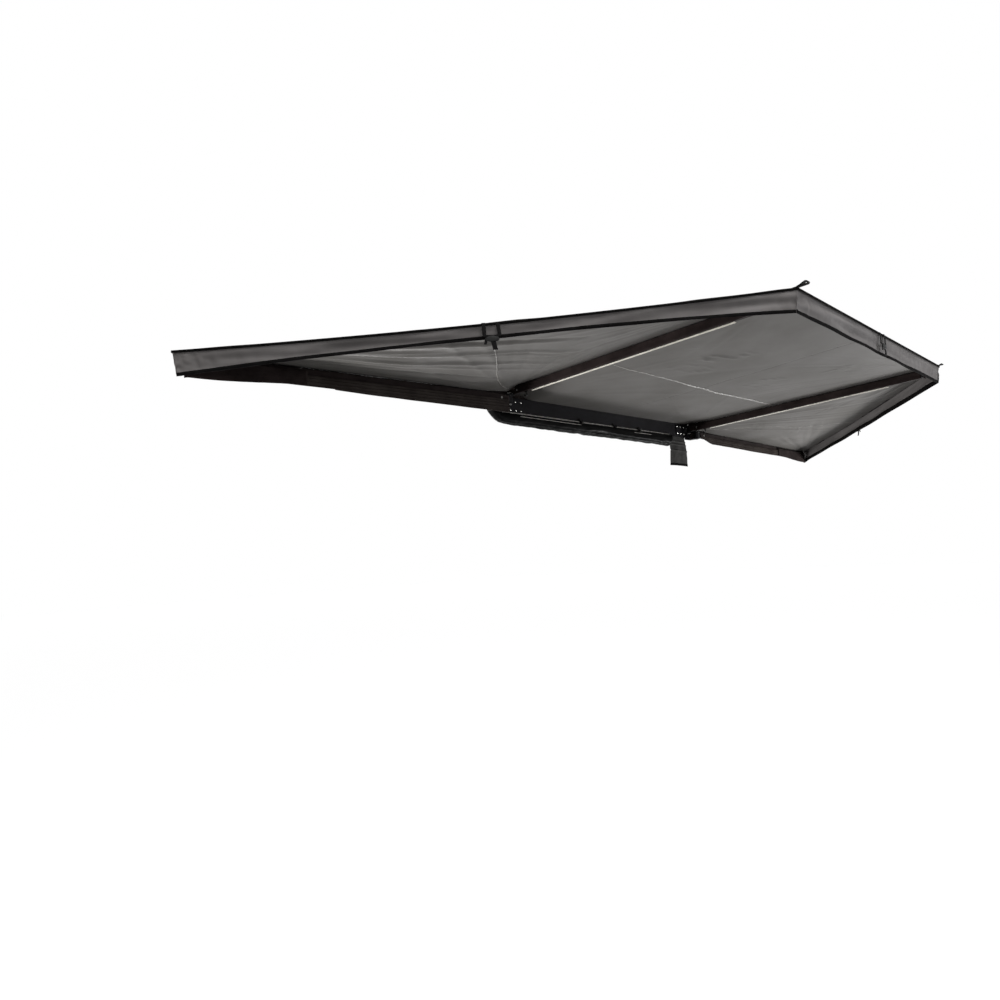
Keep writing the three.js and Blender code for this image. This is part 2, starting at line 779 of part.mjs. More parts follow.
const frontPanel = (t, w) => sidePanelPoint(-1, t, w);
const rearPanel = (t, w) => sidePanelPoint(1, t, w);
for (const [name, panel, across, along] of [
  ["front", frontPanel, 14, 12],
  ["middle", middlePanelPoint, 20, 14],
  ["rear", rearPanel, 14, 12],
])
  add(awning, name + "_canopy_panel", slab(panel, lowered(panel, clothThickness), across, along), ripstop);

// Valances hang from the three outer edges, a seat under the panel. edge gives a point on the
// panel's rim, drop the height of the valance there.
const panelEdges = {
  front: { rim: (u) => sidePanelPoint(-1, u, 1), middle: valanceMidDrop },
  outer: { rim: (u) => middlePanelPoint(u, 1), middle: valanceDrop },
  rear: { rim: (u) => sidePanelPoint(1, 1 - u, 1), middle: valanceMidDrop },
};

function rimFrame(rim, u) {
  const step = 1e-3;
  const from = rim(Math.max(0, u - step));
  const to = rim(Math.min(1, u + step));
  const run = to.sub(from).setZ(0).normalize();
  return { run, inward: new THREE.Vector3(-run.y, run.x, 0) };
}

function valancePoint(edge, depth) {
  return (u, v) => {
    const trim = cornerTrim / edge.rim(0).distanceTo(edge.rim(1));
    const at = lerp(trim, 1 - trim, u);
    const p = edge.rim(at);
    const drop = lerp(edge.middle, valanceDrop, Math.abs(2 * u - 1) ** valanceFlatness);
    const fold = Math.sin(Math.PI * u) * Math.sin(valanceFoldWaves * Math.PI * u) * valanceFold;
    p.addScaledVector(rimFrame(edge.rim, at).inward, rimInset + depth + v * (valanceLean + fold));
    p.z -= clothThickness + rimGap + v * drop;
    return p;
  };
}

for (const [name, edge] of Object.entries(panelEdges))
  add(awning, name + "_valance",
    slab(valancePoint(edge, 0), valancePoint(edge, clothThickness), 36, 2), ripstop);

// Webbing yoke at the middle of each outer edge: two straps from the rim to a cross strap, with a
// buckle under it and a tail.
function yoke(edge) {
  const middle = 0.5;
  const { run, inward } = rimFrame(edge.rim, middle);
  const basis = new THREE.Matrix4().makeBasis(run, inward, Z).setPosition(edge.rim(middle));
  const out = -seat;
  const half = yokeSpan / 2;
  const flat = (x0, x1, z0, z1) => block(x0, x1, out - webbingThickness, out, z0, z1);
  const bars = [-webbingWidth, -yokeHeight].map((low) => flat(-half, half, low, low + webbingWidth));
  const straps = [-half, half - webbingWidth].map((x) => flat(x, x + webbingWidth, -yokeHeight, 0));
  const buckleAt = -yokeHeight - buckleHeight / 2 + webbingThickness;
  const buckle = alongY(
    roundedRectangle(buckleWidth, buckleHeight, buckleHeight / 4, 0, buckleAt),
    out - buckleThickness,
    out,
  );
  const tail = block(
    -webbingWidth / 2, webbingWidth / 2,
    out - 2 * webbingThickness, out - webbingThickness,
    -yokeHeight - yokeTail, buckleAt,
  );
  return joined(...bars, ...straps, buckle, tail).applyMatrix4(basis);
}

for (const [name, edge] of Object.entries(panelEdges))
  add(awning, name + "_webbing_yoke", yoke(edge), webbing);

// Curled webbing loop sewn on top of an outer corner of the canopy.
function cornerLoop(arm) {
  const low = clothOver + seat;
  const start = arm.corner - loopReach / 2;
  const r = loopRadius;
  const t = webbingThickness;
  const bend = arm.corner + loopReach - r;
  const shape = new THREE.Shape();
  shape.moveTo(start, low);
  shape.lineTo(arm.corner, low);
  shape.quadraticCurveTo((arm.corner + bend) / 2, low + 2 * r - t, bend, low + 2 * r - t);
  shape.absarc(bend, low + r, r - t, Math.PI / 2, -Math.PI / 2, true);
  shape.lineTo(bend, low);
  shape.absarc(bend, low + r, r, -Math.PI / 2, Math.PI / 2, false);
  shape.quadraticCurveTo((arm.corner + bend) / 2, low + 2 * r, arm.corner, low + t);
  shape.lineTo(start, low + t);
  return alongY(shape, -loopWidth / 2, loopWidth / 2, 6);
}

for (const end of ["front", "rear"])
  add(groups[end + "_outer"], end + "_corner_loop", cornerLoop(arms[end + "_outer"]), webbing);

// Storage bag: the long soft roll under the board, closed by a long bow at its front end and a
// short one at its rear end.
const bagTop = -boardTop - seat;
function bagRings() {
  const [front, rear] = [-boardHalf - bagFrontOver, boardHalf - bagRearShort];
  const bent = (value, power) => Math.sign(value) * Math.abs(value) ** power;
  const ring = (k) => {
    const x = lerp(front, rear, (1 - Math.cos((Math.PI * k) / bagStations)) / 2);
    const height = lerp(bagFrontHeight, bagRearHeight, (x - front) / (rear - front));
    const fromEnd = Math.min(1, (x - front) / bagBowLength, (rear - x) / bagSternLength);
    const full = lerp(bagTipShare, 1, Math.sqrt(1 - (1 - fromEnd) ** 2));
    const width = bagDepth * lerp(bagTipWidthShare, 1, full);
    return Array.from({ length: bagSideCount }, (_, i) => {
      const a = (2 * Math.PI * i) / bagSideCount;
      const y = -bagDepth / 2 - seat + (bent(Math.cos(a), bagSideRound) * width) / 2;
      const z = bagTop - (height * full * (1 - bent(Math.sin(a), bagTopRound))) / 2;
      return new THREE.Vector3(x, y, z);
    });
  };
  return Array.from({ length: bagStations + 1 }, (_, k) => ring(k));
}
add(awning, "storage_bag", loft(bagRings()), bagVinyl);

// Zip along the lower front edge of the board: a tape with a raised row of teeth, and its slider.
const zipFront = -boardDepth - seat - zipThickness;
const zipTop = -boardTop + plateMargin - seat;
const zipStart = -boardHalf;
const zipLength = boardHalf - zipRearShort - zipStart;
function zipTape() {
  const shape = new THREE.Shape();
  const [low, high] = [zipTop - zipWidth, zipTop];
  shape.moveTo(zipFront + zipThickness, low);
  shape.lineTo(zipFront + zipThickness, high);
  const middle = zipFront + zipThickness / 2;
  shape.lineTo(middle, high);
  shape.absarc(middle, (low + high) / 2, zipThickness / 2, Math.PI / 2, Math.PI * 1.5, false);
  shape.lineTo(middle, low);
  return alongX(shape, zipStart, zipStart + zipLength, 4);
}
add(awning, "bag_zip", zipTape(), zipTeeth);
const sliderStart = zipStart + zipLength + seat;
const slider = block(
  sliderStart, sliderStart + sliderLength,
  zipFront - zipThickness / 2, zipFront + zipThickness,
  zipTop - zipWidth, zipTop,
);
const pull = block(
  sliderStart + sliderLength / 3, sliderStart + (sliderLength * 2) / 3,
  zipFront - zipThickness, zipFront - zipThickness / 2 + seat,
  -boardTop + seat, zipTop - zipWidth / 2,
);
add(awning, "bag_zip_slider", joined(slider, pull), zincSteel);

// Three toggles hang on the zip line.
const toggleShares = [0.424, 0.6305, 0.78];
toggleShares.forEach((share, k) => {
  const bar = new THREE.CapsuleGeometry(toggleRadius, toggleLength - 2 * toggleRadius, 3, 10);
  bar.rotateX(Math.PI / 2);
  const x = zipStart + zipLength * share;
  bar.translate(x, zipFront - toggleRadius - seat, -boardTop + seat + toggleLength / 2);
  add(awning, "bag_toggle_" + (k + 1), bar, blackNylon);
});

// The end flap of the bag hangs free below the rear end of the board.
const flapInner = boardHalf - bagRearShort + flapGap;
function flapPoint(depth) {
  return (u, v) => {
    const wave = (Math.sin(flapCurl * Math.PI * v) + Math.sin(Math.PI * u)) * flapWave * v;
    const x = flapInner + (u + flapFlare * v * (2 * u - 1)) * flapWidth;
    return new THREE.Vector3(x, -boardDepth / 2 - depth - wave, -boardTop - seat - v * flapHeight);
  };
}
add(awning, "bag_end_flap", slab(flapPoint(0), flapPoint(flapThickness), 8, 12), ripstop);

export default awning;
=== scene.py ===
import math

import bpy
import numpy as np
from mathutils import Matrix, Vector


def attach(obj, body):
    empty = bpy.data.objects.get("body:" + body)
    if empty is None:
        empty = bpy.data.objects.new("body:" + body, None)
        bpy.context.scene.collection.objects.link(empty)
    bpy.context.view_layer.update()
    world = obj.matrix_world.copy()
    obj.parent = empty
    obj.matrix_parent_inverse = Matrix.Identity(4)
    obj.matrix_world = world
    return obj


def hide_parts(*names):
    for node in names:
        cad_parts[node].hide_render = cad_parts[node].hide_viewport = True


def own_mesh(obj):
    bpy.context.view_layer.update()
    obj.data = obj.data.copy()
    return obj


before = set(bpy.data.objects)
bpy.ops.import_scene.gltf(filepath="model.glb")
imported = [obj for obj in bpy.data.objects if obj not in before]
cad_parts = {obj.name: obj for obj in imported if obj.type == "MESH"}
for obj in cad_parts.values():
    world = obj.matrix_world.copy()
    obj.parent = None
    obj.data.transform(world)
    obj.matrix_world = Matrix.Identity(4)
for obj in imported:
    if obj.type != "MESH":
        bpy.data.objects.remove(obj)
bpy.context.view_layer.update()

# Studio. The awning hangs over a plain floor as far below it as the ground is below a vehicle's
# roof, with white all round and large soft lamps. The camera stands low at the front
# corner, and its place and lens come from fitting the four corners and the hinges.
floor_height = -2.05
floor_size = 60
camera_place = (-3.5962, -2.7266, -0.7905)
camera_yaw = 45.643
camera_pitch = 4.344
camera_roll = -3.096
camera_lens = 26.617
film_width = 36
floor_lift = 0.9
sky_light = 0.17


def linear(hex_colour):
    """An sRGB hex colour as linear red, green, blue and alpha."""
    parts = np.array([int(hex_colour[k:k + 2], 16) for k in (1, 3, 5)]) / 255
    below = parts / 12.92
    above = ((parts + 0.055) / 1.055) ** 2.4
    return (*np.where(parts <= 0.04045, below, above), 1)


def add_node(tree, kind, inputs=(), **settings):
    """A node with its settings. inputs holds sockets by name or number, each a value or a link."""
    made = tree.nodes.new(kind)
    for setting, value in settings.items():
        setattr(made, setting, value)
    for socket, value in dict(inputs).items():
        if isinstance(value, bpy.types.NodeSocket):
            tree.links.new(value, made.inputs[socket])
        else:
            made.inputs[socket].default_value = value
    return made


def new_material(name, **sockets):
    """A material with one principled shader, whose sockets are set from the names given."""
    made = bpy.data.materials.new(name)
    made.use_nodes = True
    shader = made.node_tree.nodes["Principled BSDF"]
    for socket, value in sockets.items():
        shader.inputs[socket.replace("_", " ")].default_value = value
    return made, made.node_tree, shader


def wired(tree, socket, output):
    """Links an output to a socket."""
    tree.links.new(output, socket)


def put_mesh(name, points, faces, uv=None, smooth=True):
    """An object at the origin from whole arrays of points, faces and one UV for each point."""
    mesh = bpy.data.meshes.new(name)
    points = np.asarray(points, float).reshape(-1, 3)
    mesh.from_pydata(points.tolist(), [], [list(map(int, face)) for face in faces])
    if uv is not None:
        corners = np.empty(len(mesh.loops), int)
        mesh.loops.foreach_get("vertex_index", corners)
        layer = mesh.uv_layers.new(name="UVMap")
        layer.data.foreach_set("uv", np.asarray(uv, float).reshape(-1, 2)[corners].ravel())
    mesh.polygons.foreach_set("use_smooth", np.full(len(mesh.polygons), smooth))
    mesh.update()
    made = bpy.data.objects.new(name, mesh)
    bpy.context.scene.collection.objects.link(made)
    return made


def seen_rays(tree):
    """1 for what the camera sees, straight or in a gloss, and 0 for light on its way to a surface."""
    path = add_node(tree, "ShaderNodeLightPath").outputs
    rays = {0: path["Is Camera Ray"], 1: path["Is Glossy Ray"]}
    return add_node(tree, "ShaderNodeMath", rays, operation="MAXIMUM").outputs[0]


camera_data = bpy.data.cameras.new("camera")
camera_data.lens = camera_lens
camera_data.sensor_width = film_width
camera_data.clip_end = 200
camera = bpy.data.objects.new("camera", camera_data)
camera.matrix_world = (
    Matrix.Translation(camera_place)
    @ Matrix.Rotation(math.radians(camera_yaw - 90), 4, "Z")
    @ Matrix.Rotation(math.radians(90 + camera_pitch), 4, "X")
    @ Matrix.Rotation(math.radians(camera_roll), 4, "Z")
)
bpy.context.scene.collection.objects.link(camera)
bpy.context.scene.camera = camera
bpy.context.scene.view_settings.view_transform = "Standard"

floor_corners = [(x * floor_size / 2, y * floor_size / 2, floor_height)
                 for x, y in ((-1, -1), (1, -1), (1, 1), (-1, 1))]
floor = put_mesh("studio_floor", floor_corners, [(0, 1, 2, 3)])

# Grey floor paint: matt, so the light it throws up on the canopy is even. To the camera it is
# lifted to white.
floor_paint, tree, shader = new_material("grey_floor_paint", Roughness=0.9)
shader.inputs["Base Color"].default_value = linear("#5a5a5a")
lift = add_node(tree, "ShaderNodeMath", {0: seen_rays(tree), 1: floor_lift}, operation="MULTIPLY")
shader.inputs["Emission Color"].default_value = linear("#ffffff")
wired(tree, shader.inputs["Emission Strength"], lift.outputs[0])
floor.data.materials.append(floor_paint)

world = bpy.data.worlds.new("studio_white")
bpy.context.scene.world = world
world.use_nodes = True
tree = world.node_tree
sky = tree.nodes["Background"]
strength = add_node(
    tree, "ShaderNodeMapRange", {"Value": seen_rays(tree), "To Min": sky_light, "To Max": 1.0}
)
wired(tree, sky.inputs["Strength"], strength.outputs[0])
sky.inputs["Color"].default_value = linear("#ffffff")


def soft_lamp(name, place, aim, size, power, colour=(1, 1, 1)):
    """A square area lamp at place, turned to aim."""
    data = bpy.data.lights.new(name, "AREA")
    data.color = colour
    data.size = size
    data.energy = power
    lamp = bpy.data.objects.new(name, data)
    lamp.location = place
    direction = Vector(aim) - Vector(place)
    lamp.rotation_euler = direction.to_track_quat("-Z", "Y").to_euler()
    bpy.context.scene.collection.objects.link(lamp)


soft_lamp("lamp_above", (-2.5, -4.0, 4.5), (0, -0.8, 0), 4.0, 400)
soft_lamp("lamp_low_right", (3.4, -1.8, -1.5), (1.3, -0.7, 0.1), 1.2, 115)
soft_lamp("lamp_low_left", (-3.5, 1.5, -1.4), (-1.9, -0.4, 0.03), 0.9, 170)
soft_lamp("lamp_front_right", (2.6, -6.5, 0.7), (0.3, -1.6, 0.1), 2.0, 150, (0.94, 0.96, 1.0))
soft_lamp("lamp_front_left", (-6.0, -5.0, 0.2), (-1.8, -0.7, 0.05), 2.0, 85)
soft_lamp("lamp_behind_board", (0.2, 2.65, -1.0), (-1.8, -0.35, 0.05), 1.0, 30)

# Backboard. A long extrusion of aluminium, powder coated black, closed by nylon caps. It hangs on
# the roof rack by bolts in its two back channels, and carries a hinge bracket at each end.


def surface_grain(tree, shader, size, depth):
    """Bump of rounded grains of that size and depth, in metres, in the object's own coordinates."""
    place = add_node(tree, "ShaderNodeTexCoord").outputs["Object"]
    grain = add_node(tree, "ShaderNodeTexNoise", {"Vector": place, "Scale": 1 / size, "Detail": 2.0})
    raised = {"Height": grain.outputs[0], "Distance": depth, "Strength": 1.0}
    bump = add_node(tree, "ShaderNodeBump", raised)
    wired(tree, shader.inputs["Normal"], bump.outputs[0])


def mottled(tree, shader, dark, pale, size, vector=None, low=0.35, high=0.65):
    """Base colour that drifts between two colours in patches of that size."""
    place = vector or add_node(tree, "ShaderNodeTexCoord").outputs["Object"]
    cloud = add_node(tree, "ShaderNodeTexNoise", {"Vector": place, "Scale": 1 / size, "Detail": 5.0})
    share = add_node(
        tree, "ShaderNodeMapRange", {"Value": cloud.outputs[0], "From Min": low, "From Max": high}
    )
    mixed = add_node(
        tree, "ShaderNodeMix", {0: share.outputs[0], 6: linear(dark), 7: linear(pale)},
        data_type="RGBA",
    )
    wired(tree, shader.inputs["Base Color"], mixed.outputs[2])


def grained(name, colours, grain, **sockets):
    """A hard finish: colours are what mottled takes, and grain is its size and depth."""
    made, tree, shader = new_material(name, **sockets)
    mottled(tree, shader, *colours)
    surface_grain(tree, shader, *grain)
    return made


# Powder coat on aluminium and steel: satin black with a fine orange-peel grain of about 1.5 mm.
powder_coat = grained("black_powder_coat", ("#100f11", "#171619", 0.09), (0.0015, 0.00008),
                      Roughness=0.5, IOR=1.5, Specular_IOR_Level=0.06)

# Black anodised aluminium: dark metal with a soft sheen. The etch before it was anodised left a
# grain of under a millimetre, which breaks up its highlights.
anodised = grained("black_anodised_aluminium", ("#161517", "#201f20", 0.05), (0.0008, 0.00003),
                   Metallic=0.85, Roughness=0.38)

# Zinc-plated steel: bright and slightly dull, with small patches from the bath.
zinc_plate = grained("zinc_plated_steel", ("#8f8f8c", "#b5b4b0", 0.006), (0.0012, 0.00003),
                     Metallic=1.0, Roughness=0.3)

# Moulded nylon: near black, matt, with a spark-eroded grain of under a millimetre.
black_nylon = grained("moulded_black_nylon", ("#0d0d0d", "#141413", 0.02), (0.0007, 0.00006),
                      Roughness=0.5, IOR=1.53, Specular_IOR_Level=0.1)

edge_rounding = 0.0006


def dress(node_name, finish, rounding=edge_rounding):
    """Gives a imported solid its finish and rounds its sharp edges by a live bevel."""
    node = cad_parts[node_name]
    node.data.materials.clear()
    node.data.materials.append(finish)
    weld = node.modifiers.new("weld", "WELD")
    weld.merge_threshold = 1e-5
    bevel = node.modifiers.new("bevel", "BEVEL")
    bevel.width = rounding
    bevel.segments = 2
    bevel.limit_method = "ANGLE"
    bevel.angle_limit = math.radians(35)
    bevel.harden_normals = True


dress("backboard", powder_coat)
for end in ("front", "rear"):
    dress(f"{end}_board_cap", black_nylon)

# Hinge brackets. Folded steel plate riveted to the board, powder coated, with two ears that hold
# the arms' pins. The rivets are plain aluminium with domed heads, put in after coating.
rivet_radius = 0.0052
rivet_height = 0.0034
plate_front = -0.0263
plate_row = 0.023
rivet_run = 0.150
rivet_inner = 0.762
lower_rivets = (0.0, 0.27, 0.54)
upper_rivets = (0.0, 0.27, 0.54, 0.8)
for end in ("front", "rear"):
    dress(f"{end}_hinge_bracket", powder_coat, 0.0008)


def many(points, faces, places):
    """Copies of a small mesh moved to each place, as one array of points and one of faces."""
    points, places = np.asarray(points, float), np.asarray(places, float)
    copies = (points[None] + places[:, None]).reshape(-1, 3)
    steps = np.arange(len(places))[:, None, None] * len(points)
    return copies, (np.asarray(faces, int)[None] + steps).reshape(-1, len(faces[0]))


def grid_faces(rows, columns, closed=False):
    """Quads over a grid of points, row by row. closed joins the last column to the first."""
    i, j = np.meshgrid(np.arange(rows - 1), np.arange(columns - (not closed)), indexing="ij")
    right = (j + 1) % columns
    a, b = i * columns + j, i * columns + right
    return np.stack([a, b, b + columns, a + columns], -1).reshape(-1, 4)


# Bright rivet aluminium: polished by the setting tool, so it catches light as small dots.
rivet_metal = grained("bright_rivet_aluminium", ("#b9b8b4", "#dcdbd7", 0.004), (0.001, 0.00002),
                      Metallic=1.0, Roughness=0.25)


def thicken(piece, thickness, offset=-1):
    """A wall of that thickness, grown inwards from the surface unless offset says otherwise."""
    wall = piece.modifiers.new("wall", "SOLIDIFY")
    wall.thickness = thickness
    wall.offset = offset
    wall.use_even_offset = False
    return piece


def finished(piece, finish, body=None, stands_for=None, wall=None):
    """A made piece with its wall, its finish and slot, the body that it rides on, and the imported
    solid that it replaces. Folding pieces are given their body by their fold."""
    if wall is not None:
        thicken(piece, wall)
    piece.data.materials.append(finish)
    if body is not None:
        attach(piece, body)
    if stands_for is not None:
        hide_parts(stands_for)
    return piece


def dome(radius, height, rings=5, sides=14):
    """A domed head that faces -Y: rings of a quarter ellipse, from the rim to the crown."""
    rise = np.linspace(0, np.pi / 2, rings)[:, None]
    turn = np.linspace(0, 2 * np.pi, sides, endpoint=False)[None]
    points = np.stack(
        [radius * np.cos(rise) * np.cos(turn), -height * np.sin(rise) + 0 * turn,
         radius * np.cos(rise) * np.sin(turn)], -1,
    )
    return points.reshape(-1, 3), grid_faces(rings, sides, True)


for end, side in (("front", -1), ("rear", 1)):
    spots = [(side * (rivet_inner + rivet_run * share), plate_front + 0.0002, height)
             for height, row in ((-plate_row, lower_rivets), (plate_row, upper_rivets))
             for share in row]
    points, quads = many(*dome(rivet_radius, rivet_height), spots)
    rivets = put_mesh(f"{end}_bracket_rivets", points, quads)
    finished(rivets, rivet_metal, "root")

# Hinges. Each arm turns on a zinc-plated pin through both ears, in a flanged nylon bush, and its
# forged knuckle plugs into the arm tube with a cross bolt.
arm_names = ("front_side", "front_outer", "rear_outer", "rear_side")
for arm_name in arm_names:
    dress(f"{arm_name}_hinge_pin", zinc_plate)
    dress(f"{arm_name}_hinge_bush", black_nylon, 0.0003)
    dress(f"{arm_name}_arm_knuckle", anodised)
    dress(f"{arm_name}_arm_bolt", zinc_plate)

# Arms. Rectangular tubes of black anodised aluminium with plugs in their tips. Front and rear
# pairs fold at two levels, and each side arm lies a step below its outer arm.
side_droop = math.radians(1.39)
side_step = 0.042
outer_rise = math.radians(2.6)
inner_lane, outer_lane = -0.046, -0.087
upper_level, lower_level = 0.058, 0.008
side_pin, outer_pin = 0.905, 0.870
side_reach, outer_reach = 1.662, 1.520
side_corner, outer_corner = 1.704, 1.554


def arm_frame(end, kind):
    """Pin, direction, sideways and upward unit vectors of an arm, its reach and its corner."""
    level = upper_level if end < 0 else lower_level
    if kind == "side":
        lean, run = math.sin(side_droop), math.cos(side_droop)
        pin = np.array([end * side_pin, outer_lane, level - side_step])
        direction, up = np.array([end * run, 0, -lean]), np.array([end * lean, 0, run])
        reach, corner = side_reach, side_corner
    else:
        lean, run = math.sin(outer_rise), math.cos(outer_rise)
        pin = np.array([end * outer_pin, inner_lane, level])
        direction, up = np.array([0, -run, lean]), np.array([0, lean, run])
        reach, corner = outer_reach, outer_corner
    return {"pin": pin, "direction": direction, "sideways": np.cross(up, direction), "up": up,
            "reach": reach, "corner": corner}


arms = {
    "front_side": arm_frame(-1, "side"), "front_outer": arm_frame(-1, "outer"),
    "rear_outer": arm_frame(1, "outer"), "rear_side": arm_frame(1, "side"),
}
for arm_name in arm_names:
    dress(f"{arm_name}_arm_tube", anodised)
    dress(f"{arm_name}_arm_tip_plug", black_nylon)

# Arm sleeves. Each arm runs in a sewn tube of black polyester. On the two side arms it carries a
# hanging skirt with three corded lines, which closes over the folded arms.
sleeve_width, sleeve_height = 0.028, 0.041
sleeve_start = 0.019
sleeve_full = 0.095
sleeve_corner, sleeve_wall = 0.0045, 0.0006
sleeve_rows, sleeve_columns = 260, 56
sleeve_girth, sleeve_radius = 0.138, 0.018
sleeve_root_height = 0.84
pocket_length = 0.070
pocket_overlap = 0.012
pocket_back = 0.046
skirt_inner = 0.0166
skirt_thickness = 0.002
skirt_top, skirt_low = -0.008, -0.0535
skirt_free = -0.012
skirt_sway, skirt_unevenness = 0.0010, 0.0012
skirt_cords = (-0.0219, -0.0363, -0.0502)
cord_width, cord_height = 0.0019, 0.0024
skirt_start = 0.026
skirt_rows, skirt_columns = 240, 46
skirt_taper = 0.16
skirt_root = {"front": 1.0, "rear": 0.4}


def ripples(u, v, seed, longest, shortest, count=14, slant=1.0):
    """An uneven height of about -1 to 1: plane waves of random length, phase and direction.
    slant scales how fast the waves run along v against u."""
    draw = np.random.default_rng(seed)
    length = np.exp(draw.uniform(np.log(shortest), np.log(longest), count))
    heading = draw.uniform(0, 2 * np.pi, count)
    phase = draw.uniform(0, 2 * np.pi, count)
    weight = (length / longest) ** 0.6
    total = 0
    for k in range(count):
        run = u * np.cos(heading[k]) + slant * v * np.sin(heading[k])
        total = total + weight[k] * np.sin(2 * np.pi * run / length[k] + phase[k])
    return total / np.sqrt((weight ** 2).sum()) * 0.7


def skin(name, points, uv=None, closed=False, capped=False, turned=False):
    """A smooth mesh through a grid of points. closed joins its columns in a ring, capped closes
    its two ends by a fan, and turned faces it the other way. A capped one always faces out."""
    rows, columns = points.shape[:2]
    quads = grid_faces(rows, columns, closed)
    flat = points.reshape(-1, 3)
    flat_uv = None if uv is None else np.broadcast_to(uv, (rows, columns, 2)).reshape(-1, 2)
    faces = quads.tolist()
    if capped:
        middles = np.stack([points[0].mean(0), points[-1].mean(0)])
        ring = np.arange(columns)
        following = (ring + 1) % columns
        first, last = len(flat), len(flat) + 1
        far = (rows - 1) * columns
        flat = np.vstack([flat, middles])
        if flat_uv is not None:
            flat_uv = np.vstack([flat_uv, flat_uv[0], flat_uv[-1]])
        faces += np.stack([np.full(columns, first), following, ring], -1).tolist()
        faces += np.stack([np.full(columns, last), far + ring, far + following], -1).tolist()
        first_corner, second, third, fourth = (flat[quads[:, k]] for k in range(4))
        volume = np.einsum("ij,ij->i", first_corner, np.cross(second, third)).sum()
        volume += np.einsum("ij,ij->i", first_corner, np.cross(third, fourth)).sum()
        turned = volume < 0
    if turned:
        faces = [face[::-1] for face in faces]
    return put_mesh(name, flat, faces, flat_uv)


def rounded_section(width, height, corner, count):
    """Points round a rectangle with round corners, evenly spaced by length, as (count, 2)."""
    arc = np.linspace(0, np.pi / 2, 9)
    pieces = []
    for k, (cx, cz) in enumerate([(1, 1), (-1, 1), (-1, -1), (1, -1)]):
        angle = arc + k * np.pi / 2
        pieces.append(np.stack(
            [cx * (width / 2 - corner) + corner * np.cos(angle),
             cz * (height / 2 - corner) + corner * np.sin(angle)], -1,
        ))
    outline = np.vstack(pieces + [pieces[0][:1]])
    steps = np.linalg.norm(np.diff(outline, axis=0), axis=1)
    along = np.concatenate([[0], np.cumsum(steps)])
    at = np.linspace(0, along[-1], count, endpoint=False)
    return np.stack([np.interp(at, along, outline[:, k]) for k in (0, 1)], -1)


def stacked(*parts):
    """Points or UV from their coordinates, which may be arrays of different shapes."""
    return np.stack(np.broadcast_arrays(*parts), -1)


def bell(x, middle, width):
    """A smooth bump of height 1 round middle."""
    return np.exp(-(((x - middle) / width) ** 2))


def mix(a, b, share):
    """From a to b, straight, by a share of 0 to 1."""
    return a + (b - a) * share


def eased(share):
    """A share that starts and ends slowly: three times its square less twice its cube."""
    return share * share * (3 - 2 * share)


def on_arm(arm, s, y, z):
    """Points at s along an arm, y to its side and z above its middle line."""
    s, y, z = (np.asarray(part, float)[..., None] for part in np.broadcast_arrays(s, y, z))
    return arm["pin"] + s * arm["direction"] + y * arm["sideways"] + z * arm["up"]


def woven(name, colours, spacing, depth, **sockets):
    """A cloth finish: two colours and the size of their patches, and a bump of crossing threads at
    that spacing, from the piece's UV, which is in metres."""
    made, tree, shader = new_material(name, **sockets)
    place = add_node(tree, "ShaderNodeTexCoord").outputs["UV"]
    split = add_node(tree, "ShaderNodeSeparateXYZ", {0: place})
    threads = []
    for axis in (0, 1):
        turn = add_node(
            tree, "ShaderNodeMath", {0: split.outputs[axis], 1: 2 * np.pi / spacing},
            operation="MULTIPLY",
        )
        threads.append(add_node(tree, "ShaderNodeMath", {0: turn.outputs[0]}, operation="SINE"))
    over = add_node(
        tree, "ShaderNodeMath", {0: threads[0].outputs[0], 1: threads[1].outputs[0]},
        operation="MULTIPLY",
    )
    fuzz = add_node(tree, "ShaderNodeTexNoise", {"Vector": place, "Scale": 350.0, "Detail": 3.0})
    height = add_node(
        tree, "ShaderNodeMath",
        {0: over.outputs[0], 1: 0.4, 2: fuzz.outputs[0]}, operation="MULTIPLY_ADD",
    )
    raised = {"Height": height.outputs[0], "Distance": depth, "Strength": 0.6}
    wired(tree, shader.inputs["Normal"], add_node(tree, "ShaderNodeBump", raised).outputs[0])
    mottled(tree, shader, *colours, place)
    return made


# Sleeve cloth: black 600-denier polyester, brownish in the light, with a dull coated shine. Its
# threads are half a millimetre apart and drawn at two, so that they show.
sleeve_cloth = woven("black_polyester_sleeve_cloth", ("#181211", "#27201f", 0.12), 0.002, 0.00012,
                     Roughness=0.62, Sheen_Weight=0.04, Specular_IOR_Level=0.03)

# Skirt cloth: the same polyester on its napped face, so it looks a shade paler and browner.
skirt_cloth = woven("brown_black_polyester_skirt_cloth", ("#282321", "#37322f", 0.10), 0.002,
                    0.00012, Roughness=0.7, Specular_IOR_Level=0.03)

for arm_name, arm in arms.items():
    outline = rounded_section(sleeve_width, sleeve_height, sleeve_corner, sleeve_columns)
    sleeve_end = arm["reach"] - pocket_length + pocket_overlap
    s = np.linspace(sleeve_start, sleeve_end, sleeve_rows)[:, None]
    girth = np.linspace(0, sleeve_girth, sleeve_columns, endpoint=False)[None]
    loose = 0.0009 * ripples(s, girth, arm_names.index(arm_name) + 3, 0.5, 0.06, 16, 7.0)
    loose = loose + 0.0006 * ripples(s, girth, arm_names.index(arm_name) + 31, 0.09, 0.03, 12, 2.0)
    swell = 1 + loose / sleeve_radius
    from_root = np.clip((s - sleeve_start) / (sleeve_full - sleeve_start), 0, 1)
    root = mix(sleeve_root_height, 1, from_root ** 0.7)
    points = on_arm(arm, s, outline[None, :, 0] * swell, outline[None, :, 1] * swell * root)
    uv = stacked(s, girth)
    sleeve = skin(f"{arm_name}_sleeve_cloth", points, uv, closed=True)
    finished(sleeve, sleeve_cloth, f"{arm_name}_arm",
             stands_for=f"{arm_name}_arm_sleeve", wall=sleeve_wall)

